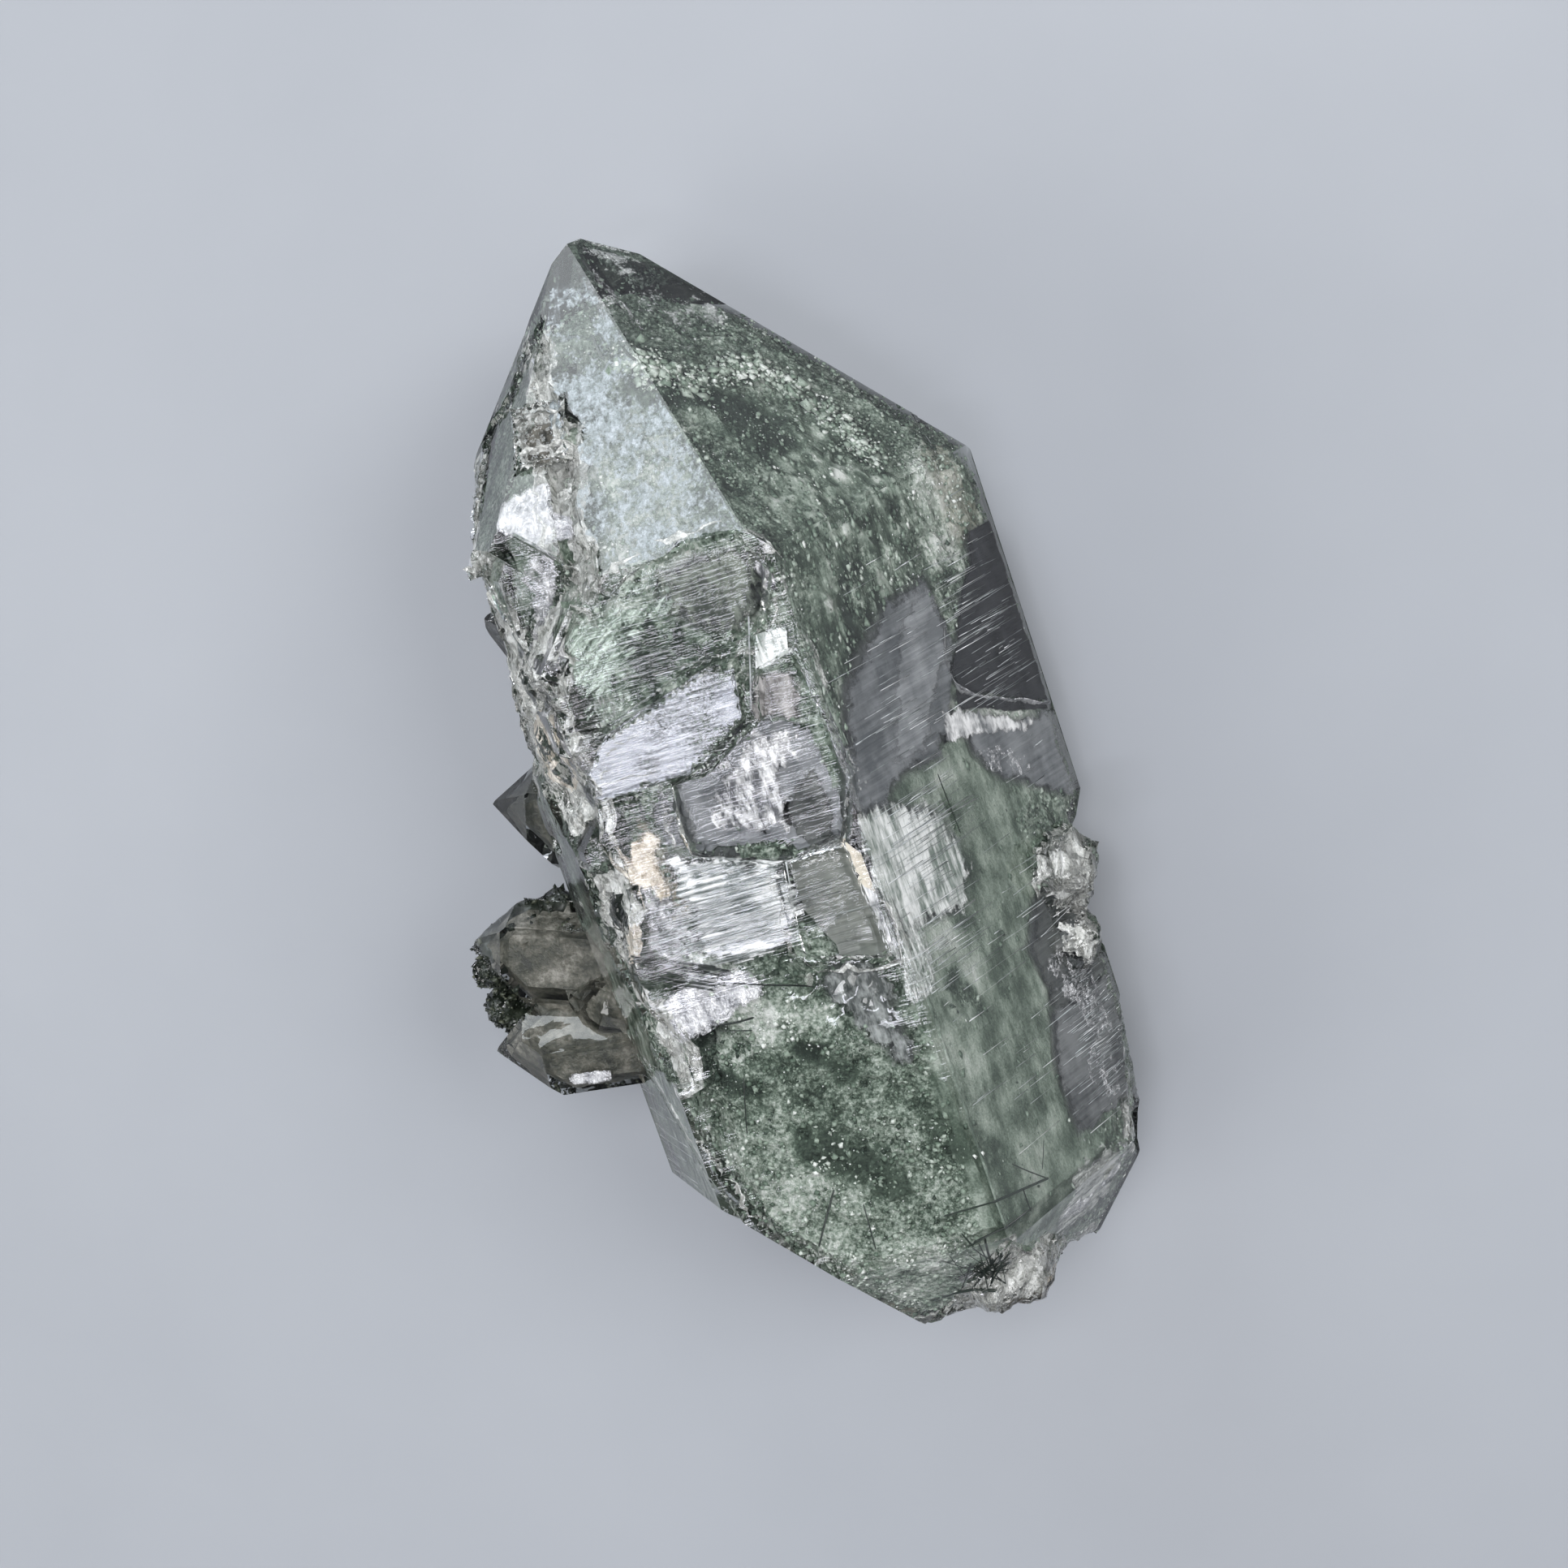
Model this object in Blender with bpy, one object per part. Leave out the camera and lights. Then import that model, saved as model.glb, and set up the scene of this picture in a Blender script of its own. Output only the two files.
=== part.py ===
"""Green phantom quartz: one doubly terminated crystal lying on its back prism face.

The crystal's long axis runs along Y, with the sharp end at +Y and the broken end at -Y.
Its front prism face looks up (+Z), and its back prism face lies on z = 0. Small smoky
crystals with a dark crust grew on its left side (-X), and they are one solid with it.
Faces are numbered from 0 at the front, counted to the right in steps of 60 degrees.
"""

import math

import bmesh
import bpy
from mathutils import Matrix, Vector, noise

# Sizes are in millimetres, and MM turns them into metres.
MM = 0.001

# The distance of each face from the crystal's centre, for faces 0 to 5.
AXIS_HEIGHT = 12.0
CENTRE = Vector((0.0, 0.0, AXIS_HEIGHT))
PRISM = (11.4, 10.3, 14.6, 12.0, 14.4, 16.2)
SHARP_END = (20.6, 18.9, 24.0, 27.2, 28.0, 25.7)
BROKEN_END = (27.2, 26.6, 29.5, 27.9, 28.1, 26.9)
RHOMB_ANGLE = math.radians(51.8)

# Planes that cut the main form further, each a point on the plane and its outward direction.
STEEP_FACE = ((-13.5, -20.0, 19.0), (-0.93, -0.30, 0.22))
STEEP_SHOULDER = ((-15.2, 22.5, 11.0), (-0.86, 0.50, 0.05))
RIGHT_SLIVER = ((14.3, -21.0, 8.5), (0.985, -0.17, 0.05))
TIP_CHIP = ((-4.2, 38.2, 7.8), (-0.25, 0.93, 0.28))

# The upper half of the right edge stands further out, as a parallel growth step.
RIGHT_STEP_REACH = 2.4
RIGHT_STEP_END = 17.6
FLUSH_INSET = 0.06

# Low growth steps on the back: face, rise, and the reach to the sharp and the broken end.
BACK_STEPS = ((2, 0.5, 2.4, 22.0), (4, 0.6, 17.0, 12.5), (4, 1.1, 22.0, 4.0))
STEP_INSET = 0.35

# Blocky ledges run down the rough left side.
LEDGES = 11
LEDGE_TOP = 26.0
LEDGE_PITCH = 4.1
LEDGE_INNER_X = -8.0
LEDGE_UNDERSIDE = 7.0
LEDGE_LEVEL = 20.2

# Low relief on the front face: a raised plate, and the hollows round it.
FRONT_LEVEL = AXIS_HEIGHT + PRISM[0]
PLATE_RISE = 0.7
RECESS_DEPTH = 0.6
STEP_DEPTH = 1.3
WINDOW_DEPTH = 0.7
HOLLOW_TOP = FRONT_LEVEL + 4.0
PLATE_OUTLINE = (
    (-12.6, 4.9), (-3.7, 5.2), (0.5, 7.6), (1.1, 11.5), (-0.4, 11.9), (-4.3, 10.9), (-8.9, 9.3))
RECESS_OUTLINE = (
    (-14.0, 10.0), (-8.9, 9.6), (-4.3, 11.2), (-0.4, 12.2), (2.6, 12.9), (4.2, 16.3), (3.3, 19.1),
    (-2.2, 18.7), (-5.5, 17.3), (-9.0, 19.5), (-14.0, 19.0))
STEP_OUTLINE = (
    (-5.6, 4.9), (-3.4, 4.8), (1.1, 7.3), (2.0, 10.3), (4.4, 10.9), (4.9, 2.4), (3.3, -1.2),
    (-0.9, -1.5), (-5.9, 0.4))
WINDOW_OUTLINE = ((-0.6, -2.0), (3.3, -1.9), (3.8, -9.2), (-1.1, -7.9))

# The square ledge on the left shoulder, and how far it leans to lie along the pyramid face.
SHOULDER_LEDGE = ((-9.9, 29.3), (-6.2, 29.0), (-6.3, 24.6), (-10.2, 24.9))
SHOULDER_LEDGE_TOP = 17.2
SHOULDER_LEAN = -34.0

# Rough breaks: point, outward direction, run, length, width, relief and noise seed.
FRACTURE_CELL = 1.25
FRACTURE_DEPTH = 14.0
SHOULDER_BREAK = ((-8.6, 24.5, 16.4), (-0.61, 0.45, 0.65), (0.0, -0.79, 0.61), 27.0, 13.0, 0.4, 2.0)
BAND_BREAK = ((-15.4, 3.0, 17.4), (-0.80, 0.05, 0.60), (0.0, 1.0, 0.0), 34.0, 17.0, 0.55, 5.0)
END_BREAK = ((0.5, -36.4, 13.0), (0.05, -0.99, 0.10), (1.0, 0.0, 0.0), 24.0, 26.0, 0.4, 9.0)
EDGE_BREAK = ((-16.3, 14.0, 12.0), (-0.99, 0.13, 0.03), (0.0, 1.0, 0.0), 24.0, 20.0, 0.35, 12.0)

# Small crystals on the left: centre, direction, roll in degrees, radius and half length.
SIDE_CRYSTALS = {
    "pair_upper": ((-18.9, -7.7, 11.0), (-0.95, 0.30, -0.10), 20, 3.6, 9.2),
    "pair_lower": ((-18.8, -12.9, 12.0), (-0.97, 0.12, 0.04), 4, 3.6, 8.8),
    "pair_facet": ((-16.6, -11.0, 14.0), (-0.80, 0.52, 0.20), 35, 1.9, 4.4),
    "dark_middle": ((-17.4, 2.1, 8.8), (-0.93, 0.30, -0.10), 12, 3.5, 5.8),
    "dark_upper": ((-14.9, 14.3, 8.8), (-0.90, 0.40, -0.05), 40, 2.9, 4.4),
    "low_bud": ((-12.6, -19.5, 5.2), (-0.80, -0.50, -0.10), 10, 2.3, 4.6),
}

# Knobs of healed quartz: centre, radii, noise seed and fineness.
KNOBS = {
    "right_chip": ((13.8, -10.6, 9.0), (2.3, 3.1, 3.4), 4.2, 3),
    "low_chip": ((13.4, -15.6, 9.5), (1.6, 2.2, 2.6), 8.8, 2),
    "end_knob": ((2.7, -33.0, 15.0), (4.4, 4.4, 6.4), 1.3, 3),
}
KNOB_RELIEF = 0.28

# Dark crust round the left ends of the side crystals, in two rows of knobs.
UPPER_CRUST_KNOBS = 10
LOWER_CRUST_KNOBS = 4

# A block starts as a cube of this size. Points closer than WELD are one point, and faces
# this nearly level are one face.
STOCK_SIZE = 120.0
WELD = 0.005
FLAT_ANGLE = math.radians(0.05)


def clear_scene():
    for old in list(bpy.data.objects):
        bpy.data.objects.remove(old, do_unlink=True)


def quartz_material():
    """Clear quartz with a green cast, the colour that the phantom gives it."""
    material = bpy.data.materials.new("green_phantom_quartz")
    material.use_nodes = True
    shader = material.node_tree.nodes["Principled BSDF"]
    shader.inputs["Base Color"].default_value = (0.46, 0.55, 0.49, 1.0)
    shader.inputs["Roughness"].default_value = 0.08
    shader.inputs["Metallic"].default_value = 0.0
    return material


def new_object(name, bm):
    """Turns a bmesh in millimetres into an object in metres."""
    bmesh.ops.scale(bm, vec=(MM, MM, MM), verts=bm.verts)
    bmesh.ops.recalc_face_normals(bm, faces=bm.faces)
    mesh = bpy.data.meshes.new(name)
    bm.to_mesh(mesh)
    bm.free()
    made = bpy.data.objects.new(name, mesh)
    bpy.context.scene.collection.objects.link(made)
    return made


def combine(target, tool, operation):
    """Joins a tool to the target or cuts it away, and hides the tool."""
    step = target.modifiers.new(tool.name, "BOOLEAN")
    step.object = tool
    step.operation = operation
    step.solver = "EXACT"
    tool.hide_render = True
    tool.display_type = "WIRE"


# Crystal forms

def prism_normal(face):
    turn = math.radians(60 * face)
    return Vector((math.sin(turn), 0.0, math.cos(turn)))


def rhomb_normal(face, end):
    """The outward direction of a pyramid face at the sharp (1) or broken (-1) end."""
    side = prism_normal(face) * math.sin(RHOMB_ANGLE)
    return side + Vector((0.0, end * math.cos(RHOMB_ANGLE), 0.0))


def cut_by_plane(bm, point, normal):
    """Removes what lies outside a plane and closes the cut."""
    geometry = bm.verts[:] + bm.edges[:] + bm.faces[:]
    cut = bmesh.ops.bisect_plane(
        bm, geom=geometry, dist=0.0001, plane_co=point, plane_no=normal, clear_outer=True)
    rim = [item for item in cut["geom_cut"] if isinstance(item, bmesh.types.BMEdge)]
    if rim:
        bmesh.ops.contextual_create(bm, geom=rim)


def block_from_planes(name, planes):
    """A convex block, the space inside every (point, normal) plane."""
    bm = bmesh.new()
    bmesh.ops.create_cube(bm, size=STOCK_SIZE)
    for point, normal in planes:
        cut_by_plane(bm, point, normal)
    return new_object(name, bm)


def crystal_planes(prism, sharp_end, broken_end):
    """The planes of a quartz form in the main crystal's own orientation."""
    planes = [(CENTRE + prism_normal(k) * d, prism_normal(k)) for k, d in enumerate(prism)]
    for end, distances in ((1, sharp_end), (-1, broken_end)):
        for k, distance in enumerate(distances):
            normal = rhomb_normal(k, end)
            planes.append((CENTRE + normal * distance, normal))
    return planes


def small_crystal(name, centre, axis, roll, radius, half_length):
    """A six-sided crystal with a pyramid at both ends, at any place and direction."""
    along = Vector(axis).normalized()
    side = along.orthogonal().normalized()
    side.rotate(Matrix.Rotation(math.radians(roll), 3, along))
    other = along.cross(side)
    middle = Vector(centre)
    planes = []
    for k in range(6):
        turn = math.radians(60 * k)
        outward = side * math.cos(turn) + other * math.sin(turn)
        flank = radius * (1.0 + 0.12 * math.sin(2.3 * k + roll))
        planes.append((middle + outward * flank, outward))
        for end in (1, -1):
            slope = outward * math.sin(RHOMB_ANGLE) + along * end * math.cos(RHOMB_ANGLE)
            reach = half_length * math.cos(RHOMB_ANGLE) * (1.0 + 0.1 * math.cos(2.0 * k + end))
            planes.append((middle + slope * reach, slope))
    return block_from_planes(name, planes)


# Broken and crusty surfaces

def fracture_cutter(name, point, outward, run, length, width, relief, seed):
    """A block whose inner side is a rough sheet through a point, for cutting what lies outside."""
    out = Vector(outward).normalized()
    along = (Vector(run) - out * out.dot(Vector(run))).normalized()
    across = out.cross(along)
    columns = round(length / FRACTURE_CELL)
    rows = round(width / FRACTURE_CELL)
    bm = bmesh.new()
    sheet = []
    for i in range(columns + 1):
        for j in range(rows + 1):
            place = Vector(point) + along * (i / columns - 0.5) * length
            place += across * (j / rows - 0.5) * width
            coarse = noise.noise(place * 0.22 + Vector((seed, 0.0, 0.0)))
            fine = noise.noise(place * 0.75 + Vector((0.0, seed, 0.0)))
            sheet.append(bm.verts.new(place + out * relief * (2.2 * coarse + fine)))
    for i in range(columns):
        for j in range(rows):
            a = i * (rows + 1) + j
            b = a + rows + 1
            bm.faces.new((sheet[a], sheet[b], sheet[b + 1]))
            bm.faces.new((sheet[a], sheet[b + 1], sheet[a + 1]))
    rim = [edge for edge in bm.edges if edge.is_boundary]
    raised = bmesh.ops.extrude_edge_only(bm, edges=rim)["geom"]
    lid_point = Vector(point) + out * FRACTURE_DEPTH
    for vert in [item for item in raised if isinstance(item, bmesh.types.BMVert)]:
        vert.co += out * (lid_point - vert.co).dot(out)
    edges = [item for item in raised if isinstance(item, bmesh.types.BMEdge)]
    bmesh.ops.contextual_create(bm, geom=[edge for edge in edges if edge.is_boundary])
    return new_object(name, bm)


def lump(name, centre, radii, seed, fineness=2):
    """A knobbly grain, an egg shape with noise on it."""
    bm = bmesh.new()
    bmesh.ops.create_icosphere(bm, subdivisions=fineness, radius=1.0)
    for vert in bm.verts:
        swell = 1.0 + KNOB_RELIEF * noise.noise(vert.co * 1.7 + Vector((seed, seed, 0.0)))
        vert.co = Vector([vert.co[i] * swell * radii[i] + centre[i] for i in range(3)])
    return new_object(name, bm)


def plate(name, outline, low, high, flare=0.0):
    """An upright block on an outline in X and Y, wider at the top by flare."""
    bm = bmesh.new()
    middle = sum((Vector(p) for p in outline), Vector((0.0, 0.0))) / len(outline)
    lower = [bm.verts.new((x, y, low)) for x, y in outline]
    upper = []
    for x, y in outline:
        outward = (Vector((x, y)) - middle).normalized() * flare
        upper.append(bm.verts.new((x + outward.x, y + outward.y, high)))
    bm.faces.new(lower)
    bm.faces.new(upper)
    for i in range(len(outline)):
        j = (i + 1) % len(outline)
        bm.faces.new((lower[i], lower[j], upper[j], upper[i]))
    return new_object(name, bm)


def tilt_block(tool, pivot, axis, degrees):
    """Turns a block about a line through a point, both in millimetres."""
    turn = Matrix.Rotation(math.radians(degrees), 4, Vector(axis))
    shift = Matrix.Translation(Vector(pivot) * MM)
    tool.data.transform(shift @ turn @ shift.inverted())


# The parts of the shape

def main_crystal():
    """The crystal's body: prism, pyramids, two steep faces and slivers on its edges."""
    planes = crystal_planes(PRISM, SHARP_END, BROKEN_END)
    for point, normal in (STEEP_FACE, STEEP_SHOULDER, RIGHT_SLIVER, TIP_CHIP):
        planes.append((Vector(point), Vector(normal)))
    return block_from_planes("quartz_crystal", planes)


def inset(distances, amount):
    """Face distances a little inside another form's, so that no two faces coincide."""
    return [distance - amount for distance in distances]


def right_step():
    """The parallel growth step along the upper half of the right edge."""
    prism = inset(PRISM, FLUSH_INSET)
    prism[2] = PRISM[2] + RIGHT_STEP_REACH
    broken_end = inset(BROKEN_END, FLUSH_INSET)
    broken_end[2] = RIGHT_STEP_END
    planes = crystal_planes(prism, inset(SHARP_END, FLUSH_INSET), broken_end)
    return block_from_planes("right_step", planes)


def back_steps():
    """Low growth steps on the two back flanks, which the sides and back show."""
    steps = []
    for count, (face, rise, sharp_reach, broken_reach) in enumerate(BACK_STEPS):
        prism = inset(PRISM, STEP_INSET + 0.3 + 0.2 * count)
        prism[face] = PRISM[face] + rise
        sharp_end = [min(d, sharp_reach) for d in inset(SHARP_END, 1.0 + 0.2 * count)]
        broken_end = [min(d, broken_reach) for d in inset(BROKEN_END, 1.0 + 0.2 * count)]
        planes = crystal_planes(prism, sharp_end, broken_end)
        steps.append(block_from_planes(f"back_step_{count}", planes))
    return steps


def left_ledges():
    """Blocky parallel steps along the rough left side, each a small prism corner."""
    ledges = []
    for count in range(LEDGES):
        y = LEDGE_TOP - LEDGE_PITCH * count
        wobble = math.sin(2.4 * count)
        half = 1.7 + 0.8 * math.cos(3.1 * count)
        inner = (Vector((LEDGE_INNER_X - 0.13 * count, y, 0.0)), Vector((1.0, 0.0, 0.0)))
        under = (Vector((0.0, y, LEDGE_UNDERSIDE + 0.11 * count)), Vector((0.0, 0.0, -1.0)))
        top = (Vector((0.0, y, LEDGE_LEVEL + 1.9 * math.cos(1.9 * count))), prism_normal(0))
        planes = [inner, under, top]
        planes.append((CENTRE + prism_normal(5) * (PRISM[5] - 0.7 + 0.6 * wobble), prism_normal(5)))
        planes.append((CENTRE + prism_normal(4) * (PRISM[4] - 0.5 - 0.4 * wobble), prism_normal(4)))
        for end, distances in ((1, SHARP_END), (-1, BROKEN_END)):
            planes.append((Vector((-15.5, y + end * half, 14.0)), rhomb_normal(5, end)))
            for face in (0, 4, 5):
                reach = distances[face] - STEP_INSET - 0.03 * count
                planes.append((CENTRE + rhomb_normal(face, end) * reach, rhomb_normal(face, end)))
        ledges.append(block_from_planes(f"left_ledge_{count}", planes))
    return ledges


def side_crystals():
    """The smoky crystals on the left: a stubby pair, two smaller dark ones and a low bud."""
    return [small_crystal(name, *layout) for name, layout in SIDE_CRYSTALS.items()]


def crust_lumps():
    """The dark crust's larger knobs, round the left ends of the side crystals."""
    lumps = []
    for count in range(UPPER_CRUST_KNOBS):
        share = count / (UPPER_CRUST_KNOBS - 1)
        centre = (-25.7 + 6.6 * share, -6.6 + 2.3 * math.sin(2.0 * share), 10.6 - 0.8 * share)
        size = 1.5 + 0.35 * math.sin(4.0 * count)
        lumps.append(lump(f"crust_upper_{count}", centre, (size, size, size * 1.1), 3.1 * count))
    for count in range(LOWER_CRUST_KNOBS):
        centre = (-25.9 + 0.9 * count, -9.4 - 1.5 * count, 10.8 - 0.3 * count)
        size = 1.55 - 0.12 * count
        lumps.append(lump(f"crust_lower_{count}", centre, (size, size, size), 7.7 + 2.3 * count))
    return lumps


def knobs():
    """Healed quartz: the chips on the right edge and the blunt lower end."""
    return [lump(name, *layout) for name, layout in KNOBS.items()]


def front_hollows():
    """The recess above the raised plate, the step below it and the clear window."""
    recess_floor = FRONT_LEVEL - RECESS_DEPTH
    recess = plate("upper_recess", RECESS_OUTLINE, recess_floor, HOLLOW_TOP, 0.2)
    tilt_block(recess, (-2.0, 15.0, recess_floor), (0.66, 0.75, 0.0), -2.5)
    step_floor = FRONT_LEVEL - STEP_DEPTH
    step = plate("lower_step", STEP_OUTLINE, step_floor, HOLLOW_TOP, 0.3)
    tilt_block(step, (0.0, 2.0, step_floor), (0.9, 0.2, 0.0), 4.0)
    window_floor = FRONT_LEVEL - WINDOW_DEPTH
    window = plate("front_window", WINDOW_OUTLINE, window_floor, HOLLOW_TOP, 0.1)
    tilt_block(window, (1.3, -5.0, window_floor), (0.2, 1.0, 0.0), 4.0)
    return [recess, step, window]


def raised_plate():
    """The striated plate that stands proud of the front face."""
    return plate("front_plate", PLATE_OUTLINE, FRONT_LEVEL - 2.0, FRONT_LEVEL + PLATE_RISE, -0.25)


def shoulder_ledge():
    """The square ledge beside the upper front face, left by a broken layer."""
    ledge = plate("shoulder_ledge", SHOULDER_LEDGE, AXIS_HEIGHT, SHOULDER_LEDGE_TOP)
    tilt_block(ledge, (-8.0, 27.0, 15.6), (1.0, 0.0, 0.0), SHOULDER_LEAN)
    return ledge


def freeze(solid):
    """Makes the joined shape the object's own mesh, and deletes the tools that cut it."""
    bpy.context.view_layer.update()
    evaluated = solid.evaluated_get(bpy.context.evaluated_depsgraph_get())
    joined = bpy.data.meshes.new_from_object(evaluated)
    solid.modifiers.clear()
    solid.data = joined
    for tool in [item for item in bpy.data.objects if item is not solid]:
        bpy.data.objects.remove(tool, do_unlink=True)
    bm = bmesh.new()
    bm.from_mesh(joined)
    bmesh.ops.remove_doubles(bm, verts=bm.verts, dist=WELD * MM)
    bmesh.ops.dissolve_limit(bm, angle_limit=FLAT_ANGLE, verts=bm.verts, edges=bm.edges)
    bmesh.ops.triangulate(bm, faces=bm.faces)
    bm.to_mesh(joined)
    bm.free()


def stand_on_origin(solid):
    """Moves the mesh so that the middle of its underside is the origin."""
    points = [vertex.co for vertex in solid.data.vertices]
    low = Vector([min(point[i] for point in points) for i in range(3)])
    high = Vector([max(point[i] for point in points) for i in range(3)])
    shift = Vector((-(low.x + high.x) / 2, -(low.y + high.y) / 2, -low.z))
    solid.data.transform(Matrix.Translation(shift))


def build():
    clear_scene()
    crystal = main_crystal()
    breaks = (
        fracture_cutter("left_shoulder_break", *SHOULDER_BREAK),
        fracture_cutter("left_band_break", *BAND_BREAK),
        fracture_cutter("lower_end_break", *END_BREAK))
    for tool in [right_step()] + back_steps():
        combine(crystal, tool, "UNION")
    for tool in front_hollows():
        combine(crystal, tool, "DIFFERENCE")
    combine(crystal, raised_plate(), "UNION")
    for tool in breaks:
        combine(crystal, tool, "DIFFERENCE")
    for tool in [shoulder_ledge()] + left_ledges():
        combine(crystal, tool, "UNION")
    combine(crystal, fracture_cutter("left_edge_break", *EDGE_BREAK), "DIFFERENCE")
    for tool in knobs() + side_crystals() + crust_lumps():
        combine(crystal, tool, "UNION")
    freeze(crystal)
    stand_on_origin(crystal)
    crystal.data.materials.append(quartz_material())


build()
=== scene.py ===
"""The looks of a green phantom quartz: clear crystal, green phantom, fractures and smoky side crystals.

Shapes are worked out in the crystal's own frame, in millimetres: the long axis along Y with the
sharp end at +Y, the front face up, and the prism's centre line at x = 0, z = 12. to_frame() moves
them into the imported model's frame, in metres. Faces are numbered from 0 at the front, counted to
the right in steps of 60 degrees.
"""
import itertools
import math

import bmesh
import bpy
import numpy as np
from mathutils import Matrix, Vector
from mathutils.bvhtree import BVHTree
from mathutils.kdtree import KDTree


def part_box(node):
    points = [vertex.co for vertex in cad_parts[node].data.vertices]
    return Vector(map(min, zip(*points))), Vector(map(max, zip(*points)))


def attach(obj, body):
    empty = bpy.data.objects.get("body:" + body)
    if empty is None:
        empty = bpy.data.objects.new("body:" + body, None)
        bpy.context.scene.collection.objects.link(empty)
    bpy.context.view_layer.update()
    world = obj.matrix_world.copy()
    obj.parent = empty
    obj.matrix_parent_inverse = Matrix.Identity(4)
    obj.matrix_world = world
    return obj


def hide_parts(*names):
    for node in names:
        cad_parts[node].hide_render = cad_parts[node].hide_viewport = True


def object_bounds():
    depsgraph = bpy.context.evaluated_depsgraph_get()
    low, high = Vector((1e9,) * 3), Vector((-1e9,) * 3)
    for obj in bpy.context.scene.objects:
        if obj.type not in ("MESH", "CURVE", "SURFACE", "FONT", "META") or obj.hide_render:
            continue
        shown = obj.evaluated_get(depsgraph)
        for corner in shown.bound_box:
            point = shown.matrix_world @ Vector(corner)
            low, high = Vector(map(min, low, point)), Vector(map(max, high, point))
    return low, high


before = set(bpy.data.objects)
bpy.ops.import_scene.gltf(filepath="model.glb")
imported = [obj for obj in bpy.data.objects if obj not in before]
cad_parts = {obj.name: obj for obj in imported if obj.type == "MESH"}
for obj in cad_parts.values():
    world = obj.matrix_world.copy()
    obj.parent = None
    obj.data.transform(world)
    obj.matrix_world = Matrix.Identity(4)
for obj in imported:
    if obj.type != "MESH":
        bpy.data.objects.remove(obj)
cad_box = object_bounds()

MM = 0.001
NODE = "quartz_crystal"
BODY = "root"

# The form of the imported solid: the distance of each face from the crystal's centre.
CENTRE = Vector((0.0, 0.0, 12.0))
PRISM = (11.4, 10.3, 14.6, 12.0, 14.4, 16.2)
SHARP_END = (20.6, 18.9, 24.0, 27.2, 28.0, 25.7)
BROKEN_END = (27.2, 26.6, 29.5, 27.9, 28.1, 26.9)
RHOMB_ANGLE = math.radians(51.8)
SIDE_CRYSTALS = {
    "pair_upper": ((-18.9, -7.7, 11.0), (-0.95, 0.30, -0.10), 20, 3.6, 9.2),
    "pair_lower": ((-18.8, -12.9, 12.0), (-0.97, 0.12, 0.04), 4, 3.6, 8.8),
    "pair_facet": ((-16.6, -11.0, 14.0), (-0.80, 0.52, 0.20), 35, 1.9, 4.4),
    "dark_middle": ((-17.4, 2.1, 8.8), (-0.93, 0.30, -0.10), 12, 3.5, 5.8),
    "dark_upper": ((-14.9, 14.3, 8.8), (-0.90, 0.40, -0.05), 40, 2.9, 4.4),
    "low_bud": ((-12.6, -19.5, 5.2), (-0.80, -0.50, -0.10), 10, 2.3, 4.6),
}
CRUST_KNOBS = [
    (-25.7 + 6.6 * s, -6.6 + 2.3 * math.sin(2.0 * s), 10.6 - 0.8 * s)
    for s in (count / 9 for count in range(10))]
CRUST_KNOBS += [(-25.9 + 0.9 * count, -9.4 - 1.5 * count, 10.8 - 0.3 * count) for count in range(4)]
CRUST_REACH = 2.3
HEALED_KNOBS = (
    ((13.8, -10.6, 9.0), (2.3, 3.1, 3.4)), ((13.4, -15.6, 9.5), (1.6, 2.2, 2.6)),
    ((2.7, -33.0, 15.0), (4.4, 4.4, 6.4)))

# The solid's furthest points to the right and to the sharp end, which tie the two frames.
RIGHT_REACH = 16.378
SHARP_REACH = 37.920
high_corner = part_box(NODE)[1]
SHIFT = np.array([high_corner.x / MM - RIGHT_REACH, high_corner.y / MM - SHARP_REACH, 0.0])


def to_frame(points):
    """Moves points from the crystal's own frame in millimetres to the model's frame in metres."""
    return (np.asarray(points, float) + SHIFT) * MM


# Noise

def hashed(cells, seed):
    """A fixed number from 0 to 1 for each cell of a grid, given by three whole numbers."""
    h = cells[..., 0] * 374761393 + cells[..., 1] * 668265263 + cells[..., 2] * 1440662683
    h = (h + seed * 1274126177) & 0xFFFFFFFF
    h = ((h ^ (h >> 13)) * 1274126177) & 0xFFFFFFFF
    h = ((h ^ (h >> 15)) * 2246822519) & 0xFFFFFFFF
    return ((h ^ (h >> 16)) & 0xFFFFFF) / float(0xFFFFFF)


def smooth(value):
    """Eases a number from 0 to 1, held at those ends."""
    t = np.clip(value, 0.0, 1.0)
    return t * t * (3.0 - 2.0 * t)


def soft_noise(points, fineness, seed):
    """Smooth noise from -1 to 1, with fineness waves a millimetre, which may differ by axis."""
    at = points * np.asarray(fineness, float)
    cell = np.floor(at).astype(np.int64)
    part = smooth(at - cell)
    total = np.zeros(len(at))
    for corner in itertools.product((0, 1), repeat=3):
        weight = np.prod(np.where(np.array(corner) == 1, part, 1.0 - part), axis=1)
        total += weight * hashed(cell + np.array(corner), seed)
    return total * 2.0 - 1.0


def layered_noise(points, fineness, seed, layers=3):
    """Soft noise with finer and fainter layers on it, from about -1 to 1."""
    total = np.zeros(len(points))
    for layer in range(layers):
        grain = np.asarray(fineness, float) * 2.1 ** layer
        total += 0.55 ** layer * soft_noise(points, grain, seed + layer)
    return total / 1.4


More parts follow.
